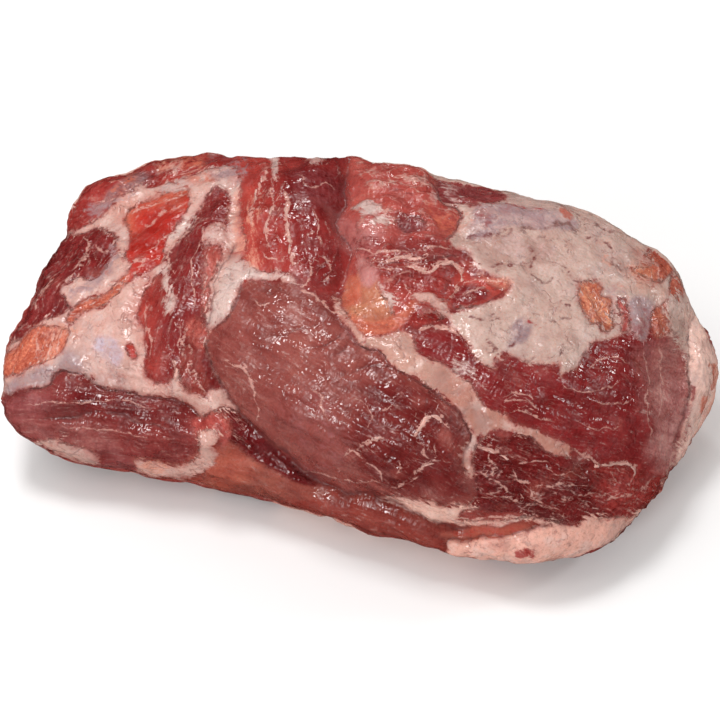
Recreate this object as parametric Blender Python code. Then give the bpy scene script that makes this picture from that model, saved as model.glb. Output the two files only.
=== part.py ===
"""A raw, boneless pork neck: one block of long muscles with a cap of fat, lying on its flat underside.

The block is a cube of quads pulled into a rounded, tapering form. Each muscle then swells from it, and each
seam between muscles is pressed into it. On the side that the photograph shows, muscles and seams are placed
by the photograph's own pixels, through its line of sight. The other sides follow from how the muscles run:
side by side, along the whole neck.

X runs along the neck, +Y away from the photograph's viewer, and +Z up. The origin is under its middle.
"""

import math

import bmesh
import bpy
import numpy as np
from mathutils import Vector, noise

MM = 0.001

# The block's form. Values at five stations run from the left end to the right end.
LENGTH = 251 * MM
STATIONS = (-1.0, -0.5, 0.0, 0.5, 1.0)
HALF_WIDTH = tuple(v * MM for v in (98, 67, 64, 70, 85))
HEIGHT = tuple(v * MM for v in (80, 89, 99, 98, 94))
MIDLINE = tuple(v * MM for v in (-14, -1, 0, 1, 5))
PRESSED_FLAT = 6 * MM  # how much of the rounded underside the table presses flat
TOP_LEANS_BACK = 8 * MM
LEFT_TOP_SHIFT, LEFT_FAR_SHIFT = -11 * MM, -2 * MM
RIGHT_TOP_SHIFT, RIGHT_FAR_SHIFT = -22 * MM, 19 * MM
TOP_SQUARENESS, UNDER_SQUARENESS = 2.9, 2.8
LEFT_SQUARENESS, RIGHT_SQUARENESS = 3.4, 3.0

# Quads along, across and up the block, and how far they are evened out towards its edges.
QUADS = (52, 30, 18)
EVENNESS = 0.98

# The photograph's line of sight: where it looks from, and its scale in pixels.
PHOTO_CENTRE = 360
FOCAL_PIXELS = 2160
SIGHT_AZIMUTH, SIGHT_ELEVATION = math.radians(18.3), math.radians(50.0)
SIGHT_DISTANCE = 850 * MM
SIGHT_TARGET = (1 * MM, -2 * MM, 35 * MM)
PIXELS_PER_METRE = FOCAL_PIXELS / SIGHT_DISTANCE
# How squarely the surface faces the viewer, from where the photograph's seams fade to where they hold.
GRAZING, CLEARLY_SEEN = 0.02, 0.22

# What swells: middle in photo pixels, length and width and tilt in the picture, height, and rounded shoulder.
SWELLINGS = {
    "eye_muscle": ((342, 393), 128 * MM, 64 * MM, 32, 5.0 * MM, 14 * MM),
    "upper_flap": ((402, 240), 70 * MM, 42 * MM, 76, 3.0 * MM, 7 * MM),
    "fat_cap": ((575, 272), 98 * MM, 60 * MM, 26, 2.0 * MM, 7 * MM),
    "lower_left": ((104, 422), 80 * MM, 30 * MM, 13, 4.0 * MM, 13 * MM),
    "long_dark": ((185, 295), 84 * MM, 22 * MM, -69, 3.0 * MM, 9 * MM),
    "upper_red": ((292, 220), 50 * MM, 40 * MM, 90, 2.0 * MM, 9 * MM),
    "left_dark": ((72, 282), 48 * MM, 22 * MM, -46, 2.0 * MM, 8 * MM),
    "bright_streak": ((150, 244), 36 * MM, 16 * MM, -42, 1.5 * MM, 7 * MM),
    "right_muscle": ((578, 402), 94 * MM, 48 * MM, 18, 3.0 * MM, 16 * MM),
    "right_lower": ((572, 487), 76 * MM, 24 * MM, 9, 2.0 * MM, 9 * MM),
    "lower_strip": ((345, 506), 104 * MM, 16 * MM, 21, 2.0 * MM, 6 * MM),
    "bottom_roll": ((548, 548), 82 * MM, 18 * MM, -2, 3.0 * MM, 7 * MM),
    "knuckle": ((211, 440), 19 * MM, 15 * MM, 60, 2.5 * MM, 6 * MM),
    "amber_pad": ((367, 306), 25 * MM, 18 * MM, 78, 2.0 * MM, 7 * MM),
    "end_strip": ((702, 376), 50 * MM, 18 * MM, 105, 3 * MM, 9 * MM),
    "far_left_corner": ((104, 196), 30 * MM, 20 * MM, -25, 4 * MM, 10 * MM),
}

# Seams pressed in: depth, half width, and the line in photo pixels.
SEAMS = {
    "flap_cleft": (8.5 * MM, 5.0 * MM, ((352, 150), (345, 182), (343, 204), (335, 220), (350, 248), (341, 284))),
    "under_eye": (
        6.0 * MM,
        5.0 * MM,
        ((208, 330), (212, 365), (237, 408), (270, 440), (307, 474), (344, 490), (400, 508), (462, 527)),
    ),
    "above_eye": (
        3.0 * MM,
        4.5 * MM,
        ((333, 290), (341, 317), (364, 348), (399, 371), (430, 388), (460, 414), (471, 435), (466, 470)),
    ),
    "over_lower_left": (4.0 * MM, 4.5 * MM, ((2, 397), (31, 389), (52, 378), (80, 374), (120, 391), (202, 415))),
    "lower_left_groove": (1.8 * MM, 4.0 * MM, ((40, 420), (104, 412), (150, 426), (196, 430))),
    "long_dark_left": (2.0 * MM, 4.5 * MM, ((202, 205), (170, 250), (140, 295), (138, 330), (150, 375))),
    "long_dark_right": (2.5 * MM, 4.5 * MM, ((234, 200), (226, 245), (206, 290), (206, 325))),
    "under_right_muscle": (2.0 * MM, 4.5 * MM, ((478, 432), (520, 431), (560, 450), (595, 464), (640, 470))),
    "end_notch": (3.0 * MM, 4.5 * MM, ((694, 314), (681, 330), (678, 365), (684, 400), (682, 445))),
    "roll_top": (2.0 * MM, 4.5 * MM, ((444, 548), (456, 540), (500, 536), (540, 531))),
}

# The long muscles where the photograph doesn't look: where each runs in the cross-section (Y, Z).
LONG_MUSCLES = {
    "belly_side": (-52 * MM, 20 * MM),
    "near_shoulder": (-50 * MM, 62 * MM),
    "eye": (-12 * MM, 44 * MM),
    "under_eye": (-8 * MM, 8 * MM),
    "top_cover": (2 * MM, 84 * MM),
    "far_top": (50 * MM, 74 * MM),
    "far_middle": (36 * MM, 36 * MM),
    "far_outer": (72 * MM, 42 * MM),
    "far_under": (48 * MM, 6 * MM),
}
MUSCLE_WANDER, WANDER_LENGTH = 7 * MM, 60 * MM
WANDER_TURN_EACH, WANDER_UP_RATIO = 2.4, 1.3  # one muscle's wandering against the next, and up against across
HIDDEN_SEAM_DEPTH, MUSCLE_SHOULDER = 5 * MM, 12 * MM

# The whole surface's soft unevenness.
UNEVENNESS, UNEVEN_LENGTH = 1.1 * MM, 16 * MM
NOISE_START = Vector((3.1, 7.7, 1.3))

LEAN_COLOUR, LEAN_ROUGHNESS = (0.30, 0.055, 0.045, 1.0), 0.38


def block_of_quads():
    """A cube with its edges cut into QUADS, which has no poles when it is rounded."""
    bm = bmesh.new()
    bmesh.ops.create_cube(bm, size=2)
    for axis, count in enumerate(QUADS):
        along_axis = [e for e in bm.edges if abs(e.verts[0].co[axis] - e.verts[1].co[axis]) > 1e-6]
        bmesh.ops.subdivide_edges(bm, edges=along_axis, cuts=count - 1, use_grid_fill=True)
    return bm


def along(place, values):
    """A smooth curve through the values at the five stations, read at place."""
    return np.polyval(np.polyfit(STATIONS, values, len(STATIONS) - 1), place)


def even_angles(cube):
    """Spreads a cube's grid, so that its quads stay alike when it is rounded."""
    widest = math.pi / 4 * EVENNESS
    return np.tan(cube * widest) / math.tan(widest)


def rounded_block(cube):
    """The neck's plain form: a tapering block whose sections and ends are superellipses."""
    cube = even_angles(cube)
    size = np.abs(cube)
    section = np.where(cube[:, 2] > 0, TOP_SQUARENESS, UNDER_SQUARENESS)
    end = np.where(cube[:, 0] > 0, RIGHT_SQUARENESS, LEFT_SQUARENESS)
    girth = (size[:, 1] ** section + size[:, 2] ** section) ** (end / section)
    unit = cube / ((girth + size[:, 0] ** end) ** (1 / end))[:, None]
    x, y, z = unit.T
    left, right = np.clip(-x, 0, 1) ** 2, np.clip(x, 0, 1) ** 2
    shift_far = LEFT_FAR_SHIFT * left + RIGHT_FAR_SHIFT * right
    shift_top = LEFT_TOP_SHIFT * left + RIGHT_TOP_SHIFT * right
    return np.stack(
        [
            LENGTH / 2 * x + shift_far * y + shift_top * z,
            along(x, MIDLINE) + along(x, HALF_WIDTH) * y + TOP_LEANS_BACK * z,
            along(x, HEIGHT) / 2 * (1 + z) - PRESSED_FLAT,
        ],
        axis=1,
    )


def sight():
    """The photograph's viewpoint and its directions right, up and back towards the viewer."""
    turn, rise = SIGHT_AZIMUTH, SIGHT_ELEVATION
    back = np.array([math.sin(turn) * math.cos(rise), -math.cos(turn) * math.cos(rise), math.sin(rise)])
    right = np.array([math.cos(turn), math.sin(turn), 0.0])
    return np.array(SIGHT_TARGET) + back * SIGHT_DISTANCE, right, np.cross(back, right), back


def in_photo(points):
    """Where the photograph shows these points, in pixels."""
    eye, right, up, back = sight()
    ray = points - eye
    scale = FOCAL_PIXELS / -(ray @ back)
    return np.stack([PHOTO_CENTRE + scale * (ray @ right), PHOTO_CENTRE - scale * (ray @ up)], axis=1)


def to_viewer(points):
    """Unit vectors from the points towards the photograph's viewer."""
    way = sight()[0] - points
    return way / np.linalg.norm(way, axis=1)[:, None]


def seen_share(points, normals):
    """1 where the photograph shows the surface well, falling to 0 where it turns away."""
    squarely = (normals * to_viewer(points)).sum(axis=1)
    share = np.clip((squarely - GRAZING) / (CLEARLY_SEEN - GRAZING), 0, 1)
    return share * share * (3 - 2 * share)


def pillow(depth_inside, shoulder):
    """0 at an edge, rising along a quarter circle to 1 at a shoulder's width inside it."""
    share = np.clip(depth_inside / shoulder, 0, 1)
    return np.sqrt(1 - (1 - share) ** 2)


def swelling(pixels, middle, length, width, tilt, height, shoulder):
    """An oval swelling in the picture's plane."""
    turn = math.radians(tilt)
    offset = (pixels - middle) / PIXELS_PER_METRE
    lengthwise = offset @ (math.cos(turn), math.sin(turn))
    crosswise = offset @ (-math.sin(turn), math.cos(turn))
    inside = 1 - np.hypot(lengthwise / (length / 2), crosswise / (width / 2))
    return height * pillow(inside * width / 2, shoulder)


def smooth_line(corners, steps=5):
    """Points on a Catmull-Rom curve through the corners."""
    p = np.array(corners, float)
    p = np.concatenate([[2 * p[0] - p[1]], p, [2 * p[-1] - p[-2]]])
    t = np.linspace(0, 1, steps, endpoint=False)[:, None]
    spans = [
        (2 * b + (c - a) * t + (2 * a - 5 * b + 4 * c - d) * t**2 + (3 * b - a - 3 * c + d) * t**3) / 2
        for a, b, c, d in zip(p, p[1:], p[2:], p[3:])
    ]
    return np.concatenate([*spans, p[-2:-1]])


def distance_to(pixels, line):
    """Distance in the picture's plane from each pixel place to a line, in metres."""
    nearest = np.full(len(pixels), np.inf)
    for start, end in zip(line, line[1:]):
        way = end - start
        share = np.clip((pixels - start) @ way / (way @ way), 0, 1)
        gap = pixels - start - share[:, None] * way
        nearest = np.minimum(nearest, np.hypot(gap[:, 0], gap[:, 1]))
    return nearest / PIXELS_PER_METRE


def swelling_height(pixels):
    """How far the seen muscles stand out from the plain form."""
    return sum(swelling(pixels, *oval) for oval in SWELLINGS.values())


def seam_depth(pixels):
    """How deep the seams between the seen muscles are pressed."""
    depths = [
        depth * np.exp(-((distance_to(pixels, smooth_line(corners)) / half_width) ** 2))
        for depth, half_width, corners in SEAMS.values()
    ]
    return np.sum(depths, axis=0)


def long_muscle_relief(points):
    """The relief of the unseen sides: long muscles side by side, each rounded down to its seams."""
    gaps = []
    for number, (y, z) in enumerate(LONG_MUSCLES.values()):
        turn = points[:, 0] / WANDER_LENGTH + WANDER_TURN_EACH * number
        across = points[:, 1] - y - MUSCLE_WANDER * np.sin(turn)
        upward = points[:, 2] - z - MUSCLE_WANDER * np.cos(WANDER_UP_RATIO * turn)
        gaps.append(np.hypot(across, upward))
    nearest, second = np.sort(gaps, axis=0)[:2]
    return HIDDEN_SEAM_DEPTH * (pillow((second - nearest) / 2, MUSCLE_SHOULDER) - 1)


def unevenness(points):
    """Soft, fixed noise that keeps the surface from looking turned or cast."""
    places = (NOISE_START + Vector(p) / UNEVEN_LENGTH for p in points)
    return UNEVENNESS * np.array([noise.noise(place) for place in places])


def shape_neck(bm):
    """Moves the block's vertices to the neck's surface."""
    cube = np.array([v.co for v in bm.verts])
    plain = rounded_block(cube)
    place_vertices(bm, plain)
    normals = np.array([v.normal for v in bm.verts])
    seen = seen_share(plain, normals)
    hidden_part = (1 - seen) * long_muscle_relief(plain) + unevenness(plain)
    surface = plain
    # A swelling moves its points in the picture, so it is read again where they have come to.
    for _ in range(3):
        relief = seen * swelling_height(in_photo(surface)) + hidden_part
        surface = plain + normals * relief[:, None]
    surface += to_viewer(surface) * (-seen * seam_depth(in_photo(surface)))[:, None]
    surface[:, 2] = np.maximum(surface[:, 2], 0)
    surface[:, :2] -= (surface[:, :2].min(axis=0) + surface[:, :2].max(axis=0)) / 2
    place_vertices(bm, surface)


def place_vertices(bm, places):
    for vertex, place in zip(bm.verts, places):
        vertex.co = place
    bm.normal_update()


def lean_material():
    material = bpy.data.materials.new("raw_pork")
    material.use_nodes = True
    shader = material.node_tree.nodes["Principled BSDF"]
    shader.inputs["Base Color"].default_value = LEAN_COLOUR
    shader.inputs["Roughness"].default_value = LEAN_ROUGHNESS
    material.diffuse_color = LEAN_COLOUR
    return material


def build_neck():
    bm = block_of_quads()
    shape_neck(bm)
    mesh = bpy.data.meshes.new("pork_neck")
    bm.to_mesh(mesh)
    bm.free()
    mesh.shade_smooth()
    mesh.materials.append(lean_material())
    bpy.context.scene.collection.objects.link(bpy.data.objects.new("pork_neck", mesh))


def main():
    for thing in list(bpy.data.objects):
        bpy.data.objects.remove(thing)
    build_neck()


if __name__ == "__main__":
    main()
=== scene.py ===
"""The looks of a raw, boneless pork neck: its muscles, fat, sinews and moist surface.

The neck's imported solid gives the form. A fine copy of it gets the muscles' borders, fibres, fat and films,
traced from the photograph on the side that it shows, and worked out from the long muscles elsewhere.
Lengths are metres in the scene and millimetres in the traced features, and pixels are the photograph's.
"""

import math
from types import SimpleNamespace

import bmesh
import bpy
import numpy as np
from bpy.props import FloatProperty, FloatVectorProperty, IntProperty, PointerProperty
from mathutils import Matrix, Vector, noise
from mathutils.bvhtree import BVHTree


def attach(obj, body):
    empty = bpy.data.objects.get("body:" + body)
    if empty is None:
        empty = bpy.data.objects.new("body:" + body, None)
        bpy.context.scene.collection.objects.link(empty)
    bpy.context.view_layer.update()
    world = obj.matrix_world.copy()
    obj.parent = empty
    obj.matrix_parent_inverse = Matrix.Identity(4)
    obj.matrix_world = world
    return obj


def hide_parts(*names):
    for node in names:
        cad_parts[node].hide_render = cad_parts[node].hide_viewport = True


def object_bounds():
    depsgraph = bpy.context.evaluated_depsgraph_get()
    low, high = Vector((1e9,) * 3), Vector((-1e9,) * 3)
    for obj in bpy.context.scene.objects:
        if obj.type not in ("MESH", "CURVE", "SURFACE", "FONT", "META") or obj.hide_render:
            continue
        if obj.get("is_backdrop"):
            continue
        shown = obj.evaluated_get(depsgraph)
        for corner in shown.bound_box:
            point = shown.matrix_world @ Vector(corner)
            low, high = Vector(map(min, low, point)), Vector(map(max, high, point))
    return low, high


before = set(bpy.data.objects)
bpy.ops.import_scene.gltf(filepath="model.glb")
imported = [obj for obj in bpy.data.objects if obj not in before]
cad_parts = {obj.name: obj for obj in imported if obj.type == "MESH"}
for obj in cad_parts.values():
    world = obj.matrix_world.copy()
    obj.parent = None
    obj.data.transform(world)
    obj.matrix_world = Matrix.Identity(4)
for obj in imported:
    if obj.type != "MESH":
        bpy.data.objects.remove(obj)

bl_info = {
    "name": "Raw pork neck",
    "version": (1, 0, 0),
    "blender": (4, 5, 0),
    "location": "3D View > Sidebar > Pork Neck",
    "description": "Dresses the packed pork neck with muscle, fat and sinew",
    "category": "Object",
}

NODE = "pork_neck"
BODY = "root"
MM = 0.001

# The photograph's line of sight, and its frame in pixels.
PHOTO_SIZE = 720
FOCAL_PIXELS = 2160
SIGHT_AZIMUTH, SIGHT_ELEVATION = math.radians(18.3), math.radians(50.0)
SIGHT_DISTANCE = 850 * MM
SIGHT_TARGET = (-3.2 * MM, 1.0 * MM, 35 * MM)
PIXELS_PER_MM = FOCAL_PIXELS / SIGHT_DISTANCE * MM
SENSOR_WIDTH = 36
# How squarely the surface faces the viewer, from where the traced features fade to where they hold.
GRAZING, CLEARLY_SEEN = -0.18, 0.04

# The fine copy of the solid: how near its points merge, how far a quad may bend, and how often it is rounded.
MERGE_WITHIN = 1e-6
QUAD_BEND = math.radians(60)
ROUNDING_LEVELS = 2

# Where the noise of the waves starts. Each wave has a number of its own, so that no two are alike, and the
# waves that come in pairs are numbered after the others.
WAVE_START = Vector((4.3, 9.1, 2.7))
FIRST_PAIR = 22

# How the traced features are read, in millimetres: how far off they still count, and how softly they end.
REACH = 8.0
TINT_EDGE, FILM_EDGE, MARK_EDGE = 1.0, 2.4, 0.5
STAIN_EDGE, STAIN_WANDER = 6.5, 5.0
MARK_STRENGTH, STAIN_STRENGTH = 0.95, 0.95
# How near the border of a muscle the relief of its fibres fades out.
CALM_EDGE = (0.7, 2.2)
# How traced outlines waver: wave length in millimetres, and shift in pixels.
OUTLINE_WARPS = ((7.0, 3.0), (2.6, 1.5))
# Points on a traced curve between two corners.
TRACE_STEPS, VEIN_STEPS = 4, 8
# How quickly a painted line thins to its ends.
LINE_TAPER = 0.35
# The width of the line of painted shade in a crease, as a share of the crease's own.
CLEFT_SHARE = 0.45

# Relief in millimetres. Waves are given as wave length, height and number.
FAT_SHOULDER = 2.6
FAT_LUMPS = ((5, 0.5, 3), (2.2, 0.25, 4))
SWELL = ((15, 1.3, 10), (6, 0.5, 11))
BUNDLE_WIDTH = 2.6
BELLY_RISE, BELLY_SHOULDER = 1.6, 3.5
# How deep the seams between the unseen muscles are pressed, and how strong the painted shade in them is.
SEAM_DEPTH, SEAM_SHADE = 0.8, 0.45
SINK = 0.4
FLOOR_GAP = 0.02
# The share to which lengths along the fibres shrink before a noise reads them, which draws it out.
FIBRE_STRETCH = 0.16

# Torn layers: how far up a step its crest lies, and how the steps sway, as wave length, shift and number.
LAYER_CREST = 0.82
LAYER_SWAY = ((17, 1.6, 12), (6, 0.5, 13))

# Raised strands: the least half width in millimetres that is raised, how much wider the strand is than its
# line, how deep it is sunk as a share of its radius, and how its way wavers, as wave length and shift in
# pixels. Their thickness swings over a length in metres.
RAISED_FROM, RAISED_WIDEN = 0.55, 1.2
VEIN_SINK = 0.84
VEIN_WOBBLES = ((9, 2.2), (3.4, 1.2))
STRAND_WAVE, STRAND_SEED = 3.0 * MM, 3.0

# The floor's side in metres, and the soft lights, as place and width in metres.
FLOOR_SIZE = 40.0
KEY_PLACE, KEY_WIDTH = (-0.45, -0.3, 0.95), 0.6
FILL_PLACE, FILL_WIDTH = (0.7, -2.4, 0.56), 2.0
LIGHT_TARGET = (0, 0, 0.04)
SURROUNDINGS = (1.0, 0.985, 0.97, 1.0)
# Small lights that the moist surface mirrors: place and width in metres, and share of the glint power.
GLINTS = (
    ((-0.22, 0.02, 0.92), 0.24, 1.0),
    ((-0.16, -0.80, 0.42), 0.2, 0.7),
    ((-0.30, 0.62, 0.62), 0.12, 0.3),
    ((0.62, 0.30, 0.45), 0.12, 0.25),
)

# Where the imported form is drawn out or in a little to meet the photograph's outline: middle, reach and shift,
# in millimetres.
NUDGES = (
    ((-125, 30, 63), 17, (-3.4, 1.0, 1.6)),
    ((-125, -57, 42), 24, (-4.2, -1.2, 0.0)),
    ((-29, 62, 79), 14, (0.0, 1.8, 1.8)),
    ((116, 57, 51), 17, (-0.6, -0.4, -0.3)),
    ((-121, 44, 61), 12, (1.9, -1.2, -1.8)),
    ((-131, -30, 51), 14, (2.4, 0.3, -0.5)),
)

# The long muscles of the sides that the photograph doesn't show: their middle in the cross-section (Y, Z) in
# millimetres, and their colour.
LONG_MUSCLES = (
    ((-49, 20), "brown_red"),
    ((-47, 62), "rose"),
    ((-9, 44), "eye_rose"),
    ((-5, 8), "brick"),
    ((5, 84), "scarlet"),
    ((53, 74), "rose"),
    ((39, 36), "crimson"),
    ((75, 42), "brick"),
    ((51, 6), "eye_rose"),
    ((71, 62), "scarlet"),
    ((71, 21), "brown_red"),
    ((-62, 2), "rose"),
    ((20, 2), "crimson"),
)
# How far and over what length a long muscle wanders, in millimetres, how much its turns are ahead of those of
# the muscle before it, and how much faster it goes up and down than sideways.
MUSCLE_WANDER, WANDER_LENGTH = 7, 60
WANDER_TURN_EACH, WANDER_UP_RATIO = 2.4, 1.3
# How the borders of the long muscles bend and fray, as wave length and shift in millimetres.
BORDER_BEND, BORDER_FRAY = (13, 7), (4, 1.4)

# Sheets of fat on the sides that the photograph doesn't show: middle and half lengths in millimetres, and
# colour.
FAT_SHEETS = (
    ((58, 64, 84), (82, 36, 34), "cap_fat"),
    ((-104, 54, 60), (32, 42, 23), "pink_fat"),
    ((-20, 80, 14), (52, 16, 10), "seam_fat"),
    ((130, 26, 20), (16, 36, 15), "peach_fat"),
    ((25, -58, 2), (62, 14, 10), "roll_fat"),
    ((-62, 4, -2), (40, 32, 10), "seam_fat"),
    ((58, 24, -2), (46, 20, 10), "pink_fat"),
)

# Colours of meat and fat, as sRGB shares of 255.
COLOURS = {
    "crimson": (122, 38, 38),
    "brown_red": (128, 52, 50),
    "corner_purple": (134, 58, 58),
    "plum": (122, 52, 53),
    "brick": (150, 52, 48),
    "rose": (170, 76, 70),
    "flap_rose": (166, 73, 66),
    "scarlet": (168, 64, 56),
    "bright_red": (170, 46, 38),
    "orange": (190, 100, 78),
    "amber": (175, 105, 82),
    "tawny": (188, 110, 86),
    "eye_rose": (138, 71, 65),
    "eye_deep": (106, 33, 32),
    "deep_red": (125, 37, 38),
    "lower_red": (106, 30, 30),
    "strip_red": (136, 58, 50),
    "wine": (100, 25, 27),
    "russet": (144, 62, 56),
    "rust": (172, 88, 72),
    "tan_red": (142, 72, 62),
    "raw_pink": (170, 82, 74),
    "dusky": (154, 90, 86),
    "dusty_rose": (184, 120, 116),
    "dusty": (150, 104, 104),
    "mauve": (142, 76, 76),
    "crack": (122, 82, 76),
    "lilac_spot": (138, 112, 116),
    "lilac_sheen": (184, 164, 176),
    "cap_fat": (188, 157, 146),
    "cap_shade": (170, 136, 126),
    "lilac_fat": (156, 128, 130),
    "band_fat": (186, 140, 126),
    "band_shade": (172, 118, 104),
    "rose_fat": (176, 126, 118),
    # Painted light: a lighter copy of the roll's fat for the side of the roll at the right end.
    "lit_side_fat": (234, 192, 178),
    "pink_fat": (198, 153, 142),
    "seam_fat": (221, 175, 160),
    "roll_fat": (222, 166, 150),
    "white_fat": (200, 172, 164),
    "peach_fat": (208, 140, 120),
    "silver": (190, 156, 150),
    "lilac": (156, 124, 126),
    "vein": (210, 158, 146),
    "blood": (150, 20, 24),
    # The colour of the painted shade in creases and seams, and of the painted shadow along the fat's edge.
    "shadow_red": (82, 22, 22),
}
# Factors for the painted shade in the torn layers' gaps, for muscle that is darker, and for muscle that is
# paler and less red.
SHADOW, DARKER = (0.5, 0.28, 0.28, 1), (0.62, 0.4, 0.4, 1)
PALER, PALEST = (1.35, 1.7, 1.6, 1), (1.6, 2.4, 2.3, 1)

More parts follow.
